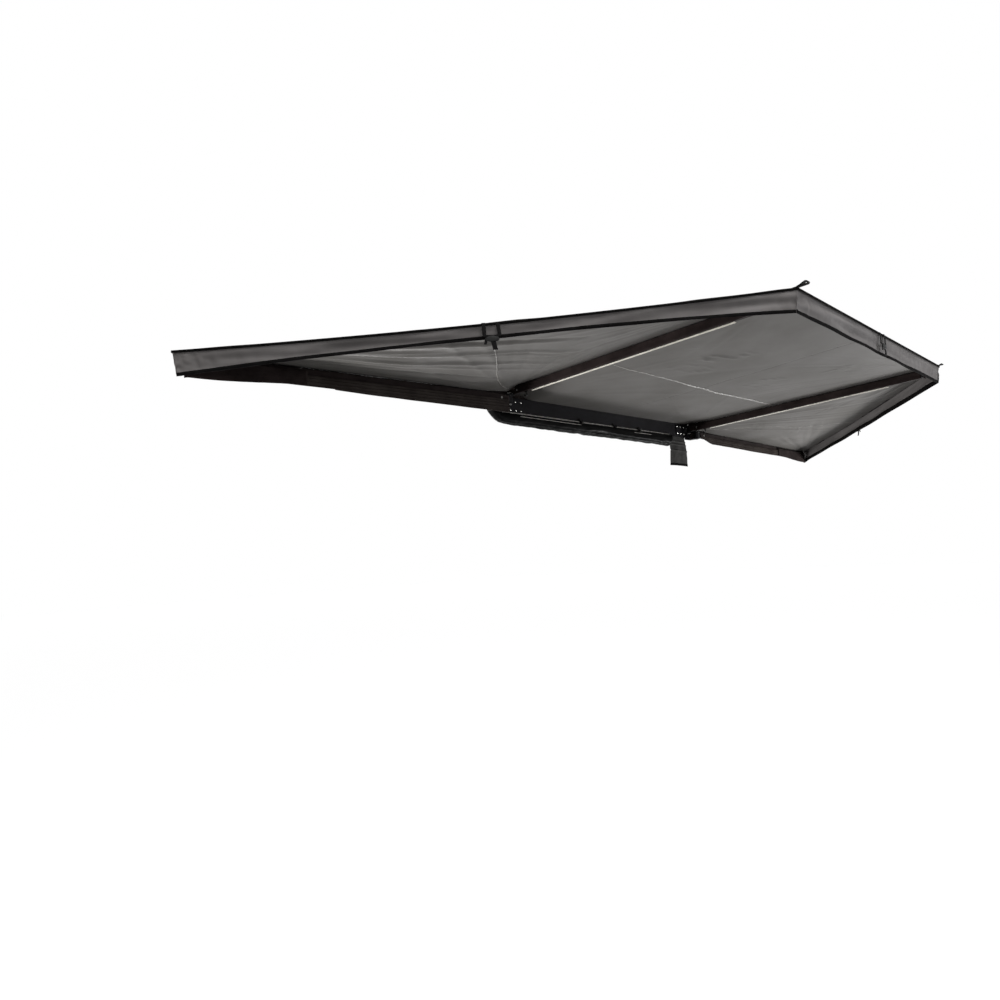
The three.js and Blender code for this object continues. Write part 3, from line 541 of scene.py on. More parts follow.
for end, outboard in (("front", 1), ("rear", -1)):
    arm = arms[f"{end}_side"]
    sleeve_end = arm["reach"] - pocket_length + pocket_overlap
    stations = np.linspace(skirt_start, sleeve_end, skirt_rows)[:, None]
    down = np.linspace(skirt_top, skirt_low, skirt_columns)[None]
    sway = skirt_sway * ripples(stations, down, 71 + outboard, 0.7, 0.12, 12, 3.0)
    cords = sum(bell(down, cord, cord_width) for cord in skirt_cords)
    outer_y = skirt_inner + skirt_thickness + cord_height * cords + sway * (down < skirt_free)
    inner_y = skirt_inner + 0.0002 + sway * (down < skirt_free) + 0 * cords
    sewn_y = np.full((skirt_rows, 1), sleeve_width / 2 - 0.0004)
    ring_y = np.concatenate([sewn_y, outer_y, inner_y[:, ::-1], sewn_y], 1)
    from_root = np.clip((stations - skirt_start) / skirt_taper, 0, 1)
    taper = mix(skirt_root[end], 1, eased(from_root))
    down_full = (down - skirt_top) * taper + skirt_top
    down_full = down_full + skirt_unevenness * ripples(stations, 0 * stations, 90 + outboard, 0.6, 0.1)
    sewn_top, sewn_low = (np.full((skirt_rows, 1), z) for z in (-0.0075, -0.0145))
    ring_z = np.concatenate([sewn_top, down_full, down_full[:, ::-1] + 0.0004, sewn_low], 1)
    points = on_arm(arm, stations, outboard * ring_y, ring_z)
    around = np.linspace(0, 0.1, points.shape[1])[None]
    uv = stacked(stations, around)
    skirt = skin(
        f"{end}_side_sleeve_skirt", points, uv, closed=True, capped=True, turned=outboard > 0
    )
    finished(skirt, skirt_cloth, f"{end}_side_arm",
             stands_for=f"{end}_side_arm_sleeve")


def lie_down(piece, anchor):
    """A soft piece of an arm gets its own copy of its mesh. The anchor is not used."""
    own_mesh(piece)


# The front skirt's hem. It is cut deeper towards the hinge.
hem_depth, hem_reach = 0.020, 1.05
hem_rows, hem_half = 160, 12
hem_bead = 0.0012
arm = arms["front_side"]
stations = np.linspace(skirt_start, hem_reach, hem_rows)[:, None]
extra = 0.002 + hem_depth * (1 - (stations - skirt_start) / (hem_reach - skirt_start)) ** 0.7
share = np.concatenate([np.linspace(0, 1, hem_half), np.linspace(1, 0, hem_half)])[None]
outside = np.arange(2 * hem_half)[None] < hem_half
lane = np.where(outside, skirt_inner + skirt_thickness, skirt_inner + 0.0003)
lane = lane + hem_bead * bell(share, 0.86, 0.1) * outside
sway = skirt_sway * ripples(stations, 0 * share + skirt_low, 72, 0.7, 0.12, 12, 3.0)
height = skirt_low + 0.003 - (extra + 0.003) * share
height = height + skirt_unevenness * ripples(stations, 0 * share, 91, 0.6, 0.1)
points = on_arm(arm, stations, lane + sway, height)
uv = stacked(stations, np.linspace(0, 0.05, 2 * hem_half)[None])
front_hem = skin("front_side_skirt_hem", points, uv, closed=True, capped=True)
finished(front_hem, skirt_cloth, "front_side_arm")
lie_down(front_hem, on_arm(arm, 0.5, 0.0, skirt_low))

# Corner pockets. A doubled pouch of the sleeve cloth is sewn over the tip of each arm, with its
# open end hemmed and its closed end rounded by the plug inside.
pocket_wall = 0.0016
pocket_width, pocket_height, pocket_corner = 0.0322, 0.0452, 0.0075
pocket_columns, pocket_girth = 48, 0.145
pocket_over, pocket_nose = 0.0056, 0.011
pocket_hem, pocket_hem_at = 0.0009, 0.004
for arm_name, arm in arms.items():
    start, tip = arm["reach"] - pocket_back, arm["reach"] + pocket_over
    along = np.linspace(0, 1, 34)
    s = start + (tip - start) * along
    near_tip = np.clip((s - (tip - pocket_nose)) / pocket_nose, 0, 1)
    shrink = 1 - 0.28 * (1 - np.sqrt(1 - near_tip ** 2))
    hem = pocket_hem * bell(s - start, pocket_hem_at, pocket_hem_at)
    outline = rounded_section(pocket_width, pocket_height, pocket_corner, pocket_columns)
    girth = np.linspace(0, pocket_girth, pocket_columns, endpoint=False)[None]
    crumple = 0.0005 * ripples(s[:, None], girth, 140 + arm_names.index(arm_name), 0.04, 0.014)
    swell = (shrink + hem / sleeve_radius)[:, None] + crumple / sleeve_radius
    points = on_arm(arm, s[:, None], outline[None, :, 0] * swell, outline[None, :, 1] * swell)
    uv = stacked(s[:, None], girth)
    middle = points[-1].mean(0)
    crown = middle + (points[-1] - middle) * np.array([0.55, 0.04])[:, None, None]
    crown = crown + arm["direction"] * np.array([0.0008, 0.001])[:, None, None]
    points = np.concatenate([points, crown])
    uv = np.concatenate([uv, uv[-1:] + 0.004, uv[-1:] + 0.008])
    pouch = skin(f"{arm_name}_corner_pouch", points, uv, closed=True)
    finished(pouch, sleeve_cloth, f"{arm_name}_arm",
             stands_for=f"{arm_name}_corner_pocket", wall=pocket_wall)

# Light strips and hooks. A cream diffuser snaps into a channel under each outer arm's rear edge,
# and a moulded hook near the root takes a lamp or a line.

# Opal polycarbonate: cream white and slightly glossy. Its drift of colour is the row of diodes,
# faint behind it.
opal = grained("opal_polycarbonate", ("#b5b0a5", "#cbc6ba", 0.03), (0.003, 0.00003),
               Roughness=0.35, IOR=1.58)
for end in ("front", "rear"):
    dress(f"{end}_light_strip", opal)
    dress(f"{end}_arm_hook", black_nylon)

# Canopy. Three panels of coated polyester are stretched between the arms: a triangle at each side
# and one long panel between them. They are sewn together over the outer arms.
cloth_thickness = 0.0012
cloth_over = 0.0262
pocket_lift = 0.012
hinge_lift_reach = 0.230
pin_step = 0.035
lane_step = 0.041
panel_sag = 0.014
edge_sag = 0.017
panel_seam = 0.0005
start_share = 0.03
board_top = 0.044
board_edge_over = 0.0018


def grid(across, down):
    """Two arrays over a grid, each from its first value, its last value and its count."""
    return np.meshgrid(np.linspace(*across), np.linspace(*down), indexing="ij")


def hinge_lift(s, most=None):
    """The cloth's lift at s along an arm: full over the hinge, and fading along the arm."""
    return pocket_lift * eased(np.clip(1 - s / hinge_lift_reach, 0, most))


def over_arm(arm, s):
    """Points above an arm's middle line, on top of the cloth. It lifts over the hinge."""
    return on_arm(arm, s, 0, cloth_over + hinge_lift(s))


def side_panel(end, t, w):
    """A side panel. t runs from the side arm to the outer arm, w from the hinge outwards. Rows
    are straight from arm to arm, lowered by a shallow parabola that deepens to the edge."""
    side, outer = (arms["front_side" if end < 0 else "rear_side"],
                   arms["front_outer" if end < 0 else "rear_outer"])
    s = mix(start_share, 1, w)
    near = over_arm(side, mix(-pin_step, side["corner"], s))
    far = over_arm(outer, mix(lane_step, outer["corner"], s))
    far[..., 0] += end * panel_seam
    points = mix(near, far, t[..., None])
    between = 4 * t * (1 - t)
    points[..., 2] -= between * (w * w * edge_sag + np.sin(np.pi * w) * panel_sag * 0.5)
    return points


def middle_panel(s, t):
    """The middle panel. s runs from the front arm to the rear arm, t from the board outwards.
    Its board edge lies on the board and rises to pass over the two hinges."""
    front, rear = arms["front_outer"], arms["rear_outer"]
    start = inner_lane + 0.011
    left = over_arm(front, mix(start, front["corner"], t))
    right = over_arm(rear, mix(start, rear["corner"], t))
    left[..., 0] += panel_seam
    right[..., 0] -= panel_seam
    points = mix(left, right, s[..., None])
    board = board_top + board_edge_over
    z0, z1 = over_arm(front, np.array(start))[2], over_arm(rear, np.array(start))[2]
    width = right[..., 0] - left[..., 0]
    near_front = eased(np.clip(1 - s * width / hinge_lift_reach, 0, None))
    near_rear = eased(np.clip(1 - (1 - s) * width / hinge_lift_reach, 0, None))
    edge = board + (z0 - board) * near_front + max(0, z1 - board) * near_rear
    points[..., 2] += (edge - mix(z0, z1, s)) * (1 - t) ** 2
    points[..., 2] -= np.sin(np.pi * s) * np.sin(np.pi * t) * panel_sag
    return points


def fold_lines(x, y, lines):
    """Height of straight soft folds on a panel. Each line is x0, y0, x1, y1, width, height: a
    bell across the line that swells and dies along it."""
    total = np.zeros(np.broadcast(x, y).shape)
    for x0, y0, x1, y1, width, height in lines:
        run = np.array([x1 - x0, y1 - y0])
        length = np.hypot(*run)
        ahead = ((x - x0) * run[0] + (y - y0) * run[1]) / length ** 2
        off = ((x - x0) * run[1] - (y - y0) * run[0]) / length
        swell = np.sqrt(np.clip(4 * ahead * (1 - ahead), 0, None))
        total += height * bell(off, 0, width) * swell
    return total


def fan_lines(seed, corner, first, last, reach, count, width, height):
    """Random pull lines that leave a corner between two headings, in degrees."""
    draw = np.random.default_rng(seed)
    heading = np.radians(draw.uniform(min(first, last), max(first, last), count))
    inner, outer = draw.uniform(0.02, 0.25, count) * reach, draw.uniform(0.45, 1.0, count) * reach
    return [
        (corner[0] + a * math.cos(h), corner[1] + a * math.sin(h),
         corner[0] + b * math.cos(h), corner[1] + b * math.sin(h),
         width * draw.uniform(0.6, 1.5), height * draw.uniform(-1, 1))
        for a, b, h in zip(inner, outer, heading)
    ]


# Canopy cloth: grey polyester ripstop, coated underneath, so it has a dull shine at low angles.
# Its ripstop squares are 5 mm and its threads too fine to show.
canopy_cloth = woven("grey_coated_ripstop", ("#575552", "#646260", 0.35), 0.005, 0.00012,
                     Roughness=0.5, IOR=1.5, Specular_IOR_Level=0.11)

# Seam tape: a clear sealing tape ironed over each sewn seam. Its pale colour is a painted highlight: it
# stands in for the light that the tape catches along its line.
seam_tape_painted_highlight = grained("pale_tape_painted_highlight", ("#6b6865", "#a4a19b", 0.03, None, 0.42, 0.6),
                    (0.006, 0.0002), Roughness=0.3, IOR=1.5)

tape_width = 0.009


def tape_strip(name, surface, path, across, lift=-0.0021):
    """A flat strip on a panel. surface gives points from two numbers, path is its middle line in
    them and across half its width in them. It stands lift above the panel, so a minus is below."""
    edges = np.stack([path - across, path - across * 0.5, path + across * 0.5, path + across], 1)
    points = surface(edges[..., 0], edges[..., 1])
    points[..., 2] += lift + np.array([0.0004, 0, 0, 0.0004])
    length = np.linspace(0, 1, len(path))[:, None]
    uv = stacked(length, np.linspace(0, tape_width, 4)[None])
    strip = skin(name, points, uv)
    thicken(strip, 0.0003, 0)
    return finished(strip, seam_tape_painted_highlight)


def fold_with_side(piece, end):
    """A soft piece of a side panel rides on the outer arm, with its own copy of its mesh."""
    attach(piece, f"{end}_outer_arm")
    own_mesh(piece)


def fold_on_board(piece, end):
    """A soft piece of the middle rides on the board, with its own copy of its mesh. end is not used."""
    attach(piece, "root")
    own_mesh(piece)


hinge_spot = {-1: (-0.885, -0.075), 1: (0.885, -0.075)}
side_tip_spot = {-1: (-2.605, -0.087), 1: (2.605, -0.087)}
outer_tip_spot = {-1: (-0.87, -1.597), 1: (0.87, -1.597)}


def side_folds(end):
    """The pull lines of a side panel: from the hinge, from both tips, and along the edge."""
    towards_tip, towards_corner = (180, 270) if end < 0 else (360, 270)
    lines = fan_lines(11 + end, hinge_spot[end], towards_tip, towards_corner, 1.5, 22, 0.016, 0.0030)
    first, last = (0, -36) if end < 0 else (180, 216)
    width, depth = (0.013, 0.0095) if end < 0 else (0.022, 0.0030)
    lines += fan_lines(23 + end, side_tip_spot[end], first, last, 1.7, 34, width, depth)
    first, last = (92, 139) if end < 0 else (88, 41)
    lines += fan_lines(37 + end, outer_tip_spot[end], first, last, 1.2, 20, 0.012, 0.0045)
    draw = np.random.default_rng(45 + end)
    for _ in range(34):
        x, y = end * draw.uniform(-1.9, -1.2) * -1, draw.uniform(-0.62, -0.2)
        length, heading = draw.uniform(0.06, 0.22), math.radians(draw.uniform(-36, -20))
        dx, dy = -end * length * math.cos(heading), length * math.sin(heading)
        lines.append((x, y, x + dx, y + dy, draw.uniform(0.004, 0.008), draw.uniform(-0.0022, 0.0022)))
    return lines


def side_surface(end):
    """A side panel with its folds: its pull lines and a slow drift, which die away at its seams and
    at the hinge."""
    def surface(t, w):
        points = side_panel(end, t, w)
        calm = np.clip(1.3 * (4 * t * (1 - t)) ** 0.5, 0, 1) * np.clip(w * 6, 0, 1)
        folds = fold_lines(points[..., 0], points[..., 1], side_folds(end))
        drift = 0.0035 * ripples(points[..., 0], points[..., 1], 50 + end, 0.9, 0.2)
        points[..., 2] += calm * (folds + drift)
        return points
    return surface


def flat_uv(points):
    """UV in metres, from the plan of the cloth."""
    return points[..., :2].copy()


for end, sign in (("front", -1), ("rear", 1)):
    t, w = grid((0, 1, 151), (0, 1, 141))
    points = side_surface(sign)(t, w)
    panel = skin(f"{end}_side_panel_cloth", points, flat_uv(points), turned=sign > 0)
    finished(panel, canopy_cloth, stands_for=f"{end}_canopy_panel",
             wall=cloth_thickness)
    fold_with_side(panel, end)
    # The pale seam runs from near the hinge to the middle of the outer edge, bending to the side arm.
    share = np.linspace(0.04, 0.985, 160)
    wander = (0.0012 if sign < 0 else 0.0035) * ripples(share * 1.2, 0 * share, 61 + sign, 0.4, 0.08)
    dip = (0.0 if sign < 0 else 0.055) * bell(share, 0.66, 0.15)
    path = np.stack([0.488 - 0.22 * (1 - share) ** 3.55 - dip + wander, share], -1)
    across = np.stack([0.42 * tape_width / 2 / (2.29 * share), 0 * share], -1)
    tape = tape_strip(f"{end}_side_panel_seam", side_surface(sign), path, across)
    fold_with_side(tape, end)

# The middle panel is made in two halves, front and rear. Its clusters of short wrinkles are x, y,
# spread, heading in degrees and count.
wrinkle_clusters = (
    (-0.40, -0.87, 0.10, -4, 12), (-0.44, -0.98, 0.07, -12, 7), (0.22, -0.90, 0.10, -6, 11),
    (0.33, -1.22, 0.06, -70, 4), (0.40, -1.30, 0.07, -20, 6), (-0.38, -1.06, 0.06, -14, 5),
)


def middle_folds():
    """Pull lines of the middle panel: from both hinges and both outer corners, and fine puckers
    beside the light strips."""
    lines = fan_lines(81, (-0.87, -0.05), 275, 352, 1.5, 16, 0.020, 0.0017)
    lines += fan_lines(82, (0.87, -0.05), 265, 188, 1.5, 16, 0.018, 0.0022)
    lines += fan_lines(83, (-0.87, -1.597), 88, 10, 1.0, 14, 0.014, 0.0018)
    lines += fan_lines(84, (0.87, -1.597), 92, 170, 1.0, 16, 0.012, 0.0024)
    draw = np.random.default_rng(86)
    for x, y, spread, heading, count in wrinkle_clusters:
        for _ in range(count):
            turned = math.radians(heading + draw.uniform(-7, 7))
            x0, y0 = x + draw.uniform(-spread, spread), y + draw.uniform(-spread, spread)
            length = draw.uniform(0.04, 0.11)
            lines.append((x0, y0, x0 + length * math.cos(turned), y0 + length * math.sin(turned),
                          draw.uniform(0.0045, 0.008), draw.uniform(-0.0042, -0.0016)))
    draw = np.random.default_rng(85)
    for side in (-1, 1):
        for _ in range(30):
            x, y = side * draw.uniform(0.62, 0.845), draw.uniform(-1.5, -0.35)
            length, heading = draw.uniform(0.03, 0.12), draw.uniform(0.5, 1.3)
            dx, dy = -side * length * math.cos(heading), -length * math.sin(heading)
            width, height = draw.uniform(0.003, 0.006), draw.uniform(-0.0014, 0.0014)
            lines.append((x, y, x + dx, y + dy, width, height))
    return lines


def middle_surface(s, t):
    """The middle panel with its folds, which die away at its seams and at the board."""
    points = middle_panel(s, t)
    calm = np.clip(1.3 * (4 * s * (1 - s)) ** 0.5, 0, 1) * np.clip(t * 5, 0, 1)
    folds = fold_lines(points[..., 0], points[..., 1], middle_folds())
    drift = 0.0022 * ripples(points[..., 0], points[..., 1], 57, 0.9, 0.2)
    points[..., 2] += calm * (folds + drift)
    return points


half_overlap = 0.0008
for end, first, last in (("front", 0, 0.5 + half_overlap), ("rear", 0.5 - half_overlap, 1)):
    s, t = grid((first, last, 91), (0, 1, 161))
    points = middle_surface(s, t)
    half = skin(f"middle_panel_{end}_half", points, flat_uv(points))
    finished(half, canopy_cloth, stands_for="middle_canopy_panel",
             wall=cloth_thickness)
    fold_on_board(half, end)
    share = np.linspace(0.02, 1, 140) if end == "front" else np.linspace(0, 0.98, 140)
    across_board = first + (last - first) * share
    wander = 0.0009 * ripples(across_board * 1.7, 0 * share, 66, 0.5, 0.08)
    path = np.stack([across_board, 0.413 - 0.035 * (1 - across_board) ** 9 + wander], -1)
    wide = mix(0.35, 1.15, eased(np.clip(across_board * 2.5, 0, 1))) * tape_width
    across = np.stack([0 * share, wide / 2 / 1.55], -1)
    tape = tape_strip(f"middle_panel_{end}_seam", middle_surface, path, across)
    fold_on_board(tape, end)

# Sleeve webs. Each sleeve is sewn to the canopy by a low web of its own black cloth.
web_thickness = 0.001
web_start = -0.032
pin_clear, pin_clear_to = 0.0325, 0.012
for arm_name, arm in arms.items():
    s = np.linspace(web_start, arm["corner"] - 0.002, 220)
    high = cloth_over + hinge_lift(s, 1) - cloth_thickness
    past_pin = eased(np.clip((s - pin_clear_to) / pin_clear_to, 0, 1))
    low = mix(pin_clear, sleeve_height / 2 - 0.004, past_pin)
    low = np.minimum(low, high - 0.001)
    share = np.array([0, 0.5, 1, 1, 0.5, 0])[None]
    side = np.array([-1, -1, -1, 1, 1, 1])[None] * web_thickness / 2
    height = mix(low[:, None], high[:, None], share)
    points = on_arm(arm, s[:, None], side, height)
    uv = stacked(s[:, None], height)
    web = skin(f"{arm_name}_sleeve_web", points, uv, closed=True, capped=True)
    finished(web, sleeve_cloth, f"{arm_name}_arm")
    lie_down(web, on_arm(arm, 0.5, 0.0, sleeve_height / 2))

# Seam covers. Over each outer arm a black tape is sewn along the joint of two panels. It is made in two
# pieces, and its first 47 mm stand over the hinge pin.
cover_start, cover_split = -0.030, 0.017
cover_half, cover_bow = 0.0125, 0.0008
cover_top, cover_under = 0.0011, 0.0003
cover_hem = 0.0003
for end in ("front", "rear"):
    arm = arms[f"{end}_outer"]
    for name, first, last in (
        (f"{end}_pin_cover", cover_start, cover_split),
        (f"{end}_arm_seam_cover", cover_split - 0.003, arm["corner"] - 0.004),
    ):
        s = np.linspace(first, last, 240)[:, None]
        side = np.concatenate([np.linspace(-1, 1, 7), np.linspace(1, -1, 7)])[None]
        upper = (np.arange(14) < 7)[None]
        height = cloth_over + hinge_lift(s, 1) + np.where(upper, cover_top, cover_under)
        height = height - cover_bow * side ** 2 + cover_hem * bell(np.abs(side), 0.75, 0.08) * upper
        points = on_arm(arm, s, cover_half * side, height)
        uv = stacked(s, cover_half * side)
        cover = skin(name, points, uv, closed=True, capped=True)
        finished(cover, sleeve_cloth, f"{end}_outer_arm")
        if first != cover_start:
            lie_down(cover, on_arm(arm, 0.5, 0.0, sleeve_height / 2))

# Board gusset and hinge hoods. The canopy's inner edge is closed down to the board by a narrow strip of
# sleeve cloth, and a hood of the same cloth closes it over each hinge. The strip's black is partly
# painted shadow: it stands in for the dark shadow line where the canopy meets the board's top edge.
share = np.linspace(0, 1, 240)
top = middle_surface(share, 0 * share)
foot = top.copy()
foot[:, 1] -= 0.0022
foot[:, 2] = board_top + 0.0004
down = np.linspace(0, 1, 8)[None, :, None]
points = top[:, None] + (foot - top)[:, None] * down
points[..., 2] -= cloth_thickness * 0.8 * (1 - down[..., 0])
uv = np.stack([points[..., 0], points[..., 2]], -1)
gusset_painted_shadow = skin("board_edge_gusset_painted_shadow", points, uv)
finished(gusset_painted_shadow, sleeve_cloth, "root", wall=0.0008)

hood_end, hood_back = 0.924, -0.012
hood_crown, hood_crumple = 0.010, 0.0012
for end, sign in (("front", -1), ("rear", 1)):
    across = np.linspace(0, 1, 30)
    inner = side_surface(sign)(across, 0 * across)
    board_end = np.array([sign * hood_end, hood_back, board_top + 0.0008])
    seam_end = middle_surface(np.array([0.0 if sign < 0 else 1.0]), np.array([0.0]))[0]
    outer_row = mix(board_end[None], seam_end[None], across[:, None])
    back = np.linspace(0, 1, 24)
    points = mix(inner[:, None], outer_row[:, None], back[None, :, None])
    crown = np.sin(np.pi * back)[None] * np.sin(np.pi * (0.15 + 0.85 * across))[:, None]
    crumple = ripples(points[..., 0], points[..., 1], 131 + sign, 0.06, 0.02)
    points[..., 2] += hood_crown * crown + hood_crumple * crumple
    points[..., 2] -= cloth_thickness * 0.5
    hood = skin(f"{end}_hinge_hood", points, flat_uv(points), turned=sign < 0)
    finished(hood, sleeve_cloth, wall=0.0009)
    fold_on_board(hood, end)

# End curtains. A short curtain of sleeve cloth closes each end of the board behind the hinge, from
# the hood down past the lower ear. It hangs from the hood and is screwed to the board's end.
curtain_at = 0.9275
curtain_width = 0.071
curtain_folds = 0.0016
for end, sign in (("front", -1), ("rear", 1)):
    level = arms[f"{end}_side"]["pin"][2]
    across, down = grid((0, 1, 26), (0, 1, 36))
    top = mix(board_top, max(level + cloth_over, level - 0.01) + 0.004, across)
    low = mix(-board_top, level - 0.028, across)
    folds = curtain_folds * ripples(across * curtain_width, down * 0.1, 171 + sign, 0.05, 0.02)
    folds = folds * np.sin(np.pi * down)
    x, y = sign * (curtain_at + curtain_folds + folds), -0.001 - curtain_width * across
    points = np.stack([x, y, mix(top, low, down)], -1)
    uv = np.stack([across * curtain_width, down * 0.1], -1)
    curtain = skin(f"{end}_end_curtain", points, uv, turned=sign > 0)
    finished(curtain, sleeve_cloth, "root", wall=0.0008)

# Corner patches. At each outer end of the board side, a doubled patch of sleeve cloth closes the
# corner between the skirt and the valance, and turns in behind the valance.
patch_start = 1.18
patch_out = 0.0234
patch_short = 0.038
patch_round = 0.012
patch_top, patch_low = 0.006, -0.071
patch_rows = 70
for end, outboard in (("front", 1), ("rear", -1)):
    arm = arms[f"{end}_side"]
    turn = np.linspace(0, np.pi / 2, 12)[1:]
    straight = np.linspace(patch_start, arm["corner"] - patch_short - patch_round, patch_rows)
    s = np.concatenate([straight, straight[-1] + patch_round * np.sin(turn)])
    turned_in = patch_out - patch_round * (1 - np.cos(turn))
    side = np.concatenate([np.full(patch_rows, patch_out), turned_in])
    share = np.clip((s - patch_start) / (arm["corner"] - patch_start), 0, 1)
    low = mix(skirt_low + 0.001, patch_low, eased(np.clip(share * 1.25, 0, 1)))
    down = np.linspace(0, 1, 30)[None]
    height = mix(patch_top, low[:, None], down)
    crumple = 0.0012 * ripples(s[:, None], height, 151 + outboard, 0.11, 0.025, 16, 1.6)
    points = on_arm(arm, s[:, None], outboard * (side[:, None] + crumple), height)
    uv = stacked(s[:, None], height)
    patch = skin(f"{end}_corner_patch", points, uv, turned=outboard < 0)
    finished(patch, sleeve_cloth, wall=0.0012)
    fold_with_side(patch, end)

# Valances. A strip of the canopy cloth hangs from each of the three outer edges, cut shallower at
# the middle of the side edges, with black binding sewn over its top and bottom edges.
valance_drop = 0.091
valance_mid_drop = 0.053
rear_mid_extra = 0.026
valance_lean = 0.010
rim_inset = 0.003
rim_gap = 0.0007
long_fold_depth = 0.0072
corner_reach, pulled_reach = 0.12, 0.11
pulled_crumple = 0.0028
tip_trim, tip_slant = 0.002, 0.014
corner_trim, corner_slant = 0.0008, -0.0007
top_binding = 0.008
low_binding = 0.012
rear_binding_share = 2.2

edge_rims = {
    "front": lambda u: side_panel(-1, u, np.ones_like(u)),
    "outer": lambda u: middle_panel(u, np.ones_like(u)),
    "rear": lambda u: side_panel(1, 1 - u, np.ones_like(u)),
}
edge_middles = {"front": valance_mid_drop, "outer": valance_drop,
                "rear": valance_mid_drop + rear_mid_extra}
edge_lengths = {"front": 2.297, "outer": 1.74, "rear": 2.297}


def rim_places(edge, u):
    """Points on a rim at u, and the horizontal unit vectors that point inwards there."""
    rim = edge_rims[edge]
    step = 1e-3
    run = rim(np.clip(u + step, 0, 1)) - rim(np.clip(u - step, 0, 1))
    run[..., 2] = 0
    run /= np.linalg.norm(run, axis=-1, keepdims=True)
    inward = np.stack([-run[..., 1], run[..., 0], 0 * run[..., 0]], -1)
    return rim(u), inward


def valance_depth(edge, u):
    """How deep a valance hangs at u: its full drop at both corners, and its least at its middle."""
    return mix(edge_middles[edge], valance_drop, np.abs(2 * u - 1) ** 2.5)


def valance_surface(edge, u, v, out=0.0):
    """A valance. u runs along the rim, v down. It leans in, with long folds along its length
    that rise and die, and it stands out by out."""
    start_trim = tip_trim + tip_slant * v if edge == "front" else corner_trim + corner_slant * v
    last_trim = tip_trim + tip_slant * v if edge == "rear" else corner_trim + corner_slant * v
    start, last = start_trim / edge_lengths[edge], 1 - last_trim / edge_lengths[edge]
    points, inward = rim_places(edge, mix(start, last, u))
    drop = valance_depth(edge, u)
    seed = {"front": 201, "outer": 202, "rear": 203}[edge]
    along = u * edge_lengths[edge]
    wave = 0.003 * np.sin(np.pi * u) * np.sin(9 * np.pi * u)
    long_folds = long_fold_depth * ripples(along, v * drop, seed, 1.3, 0.22, 18, 9.0)
    to_end = edge_lengths[edge] - along
    near_tip = np.exp(-(along / corner_reach)) + np.exp(-(to_end / corner_reach))
    puckers = (0.0008 + 0.0022 * near_tip) * ripples(along, v * drop, seed + 9, 0.10, 0.03, 14, 0.7)
    # At the side arm's tip the cloth is pulled out over the pouch, in short deep crumples.
    from_side_tip = {"front": along, "outer": 9.0 + 0 * u, "rear": to_end}[edge]
    pulled = bell(from_side_tip, 0, pulled_reach)
    crumple = pulled_crumple * pulled * ripples(along, v * drop, seed + 17, 0.06, 0.018, 14, 0.9)
    inset = rim_inset + v * (valance_lean + wave) * (1 - 0.75 * pulled) - 0.0012 * pulled + (
        np.sin(np.pi * np.clip(v, 0, 1)) * (long_folds + puckers) * (1 - 0.8 * pulled)
    ) + crumple * np.clip(4 * v, 0, 1) - out
    points = points + inward * inset[..., None]
    points[..., 2] -= cloth_thickness + rim_gap + v * drop
    return points


def band_ring(edge, u, v0, v1, out, thickness):
    """Rings of a tape folded over a valance's edge between v0 and v1, 8 points each."""
    v = np.stack([v0, mix(v0, v1, 0.5), v1, v1 + 0.008, v1 + 0.008, v1, mix(v0, v1, 0.5), v0], -1)
    outs = np.array([out, out, out, out * 0.5, -out * 0.5, -out, -out, -out])[None] - thickness / 2
    return valance_surface(edge, u[:, None], v, outs)


# Valance cloth: the canopy's ripstop with its coated side in, so its face is a little duller.
valance_cloth = woven("grey_ripstop_face", ("#5b5857", "#686564", 0.25), 0.005, 0.00012,
                      Roughness=0.58, IOR=1.5, Specular_IOR_Level=0.1)

# Binding: black grosgrain tape, with ribs across it 1.5 mm apart.
binding_tape = woven("black_grosgrain_binding", ("#0b0a0a", "#131212", 0.05), 0.0015, 0.0001,
                     Roughness=0.85, Specular_IOR_Level=0.02)


def bound(name, edge, u, rings, girth):
    """A closed band of binding tape along an edge, from the rings of its section."""
    uv = stacked(u[:, None] * edge_lengths[edge], np.linspace(0, girth, rings.shape[1])[None])
    return finished(skin(name, rings, uv, closed=True, capped=True), binding_tape)


def rim_tape(name, edge, first, last, count):
    """The top binding: a tape that lies on the canopy's edge and folds down over the valance."""
    u = np.linspace(first, last, count)
    points, inward = rim_places(edge, u)
    profile = np.array([
        (0.010, 0.0004), (0.0, 0.0006), (-0.0016, 0.0002), (-0.0022, -0.0015),
        (-0.0020, -top_binding - 0.001), (-0.0008, -top_binding - 0.001), (-0.0009, -0.0018),
        (0.0004, -0.0002), (0.010, -0.0002),
    ])
    rings = points[:, None] + inward[:, None] * profile[None, :, :1]
    rings[..., 2] += profile[None, :, 1]
    return bound(name, edge, u, rings, 0.04)


def low_tape(name, edge, first, last, count):
    """The bottom binding: a wider tape folded over the valance's lower edge."""
    u = np.linspace(first, last, count)
    drop = valance_depth(edge, u)
    depth = low_binding * (rear_binding_share if edge == "rear" else 1.0)
    rings = band_ring(edge, u, 1 - depth / drop, np.ones_like(u), 0.0018, cloth_thickness)
    return bound(name, edge, u, rings, 0.03)


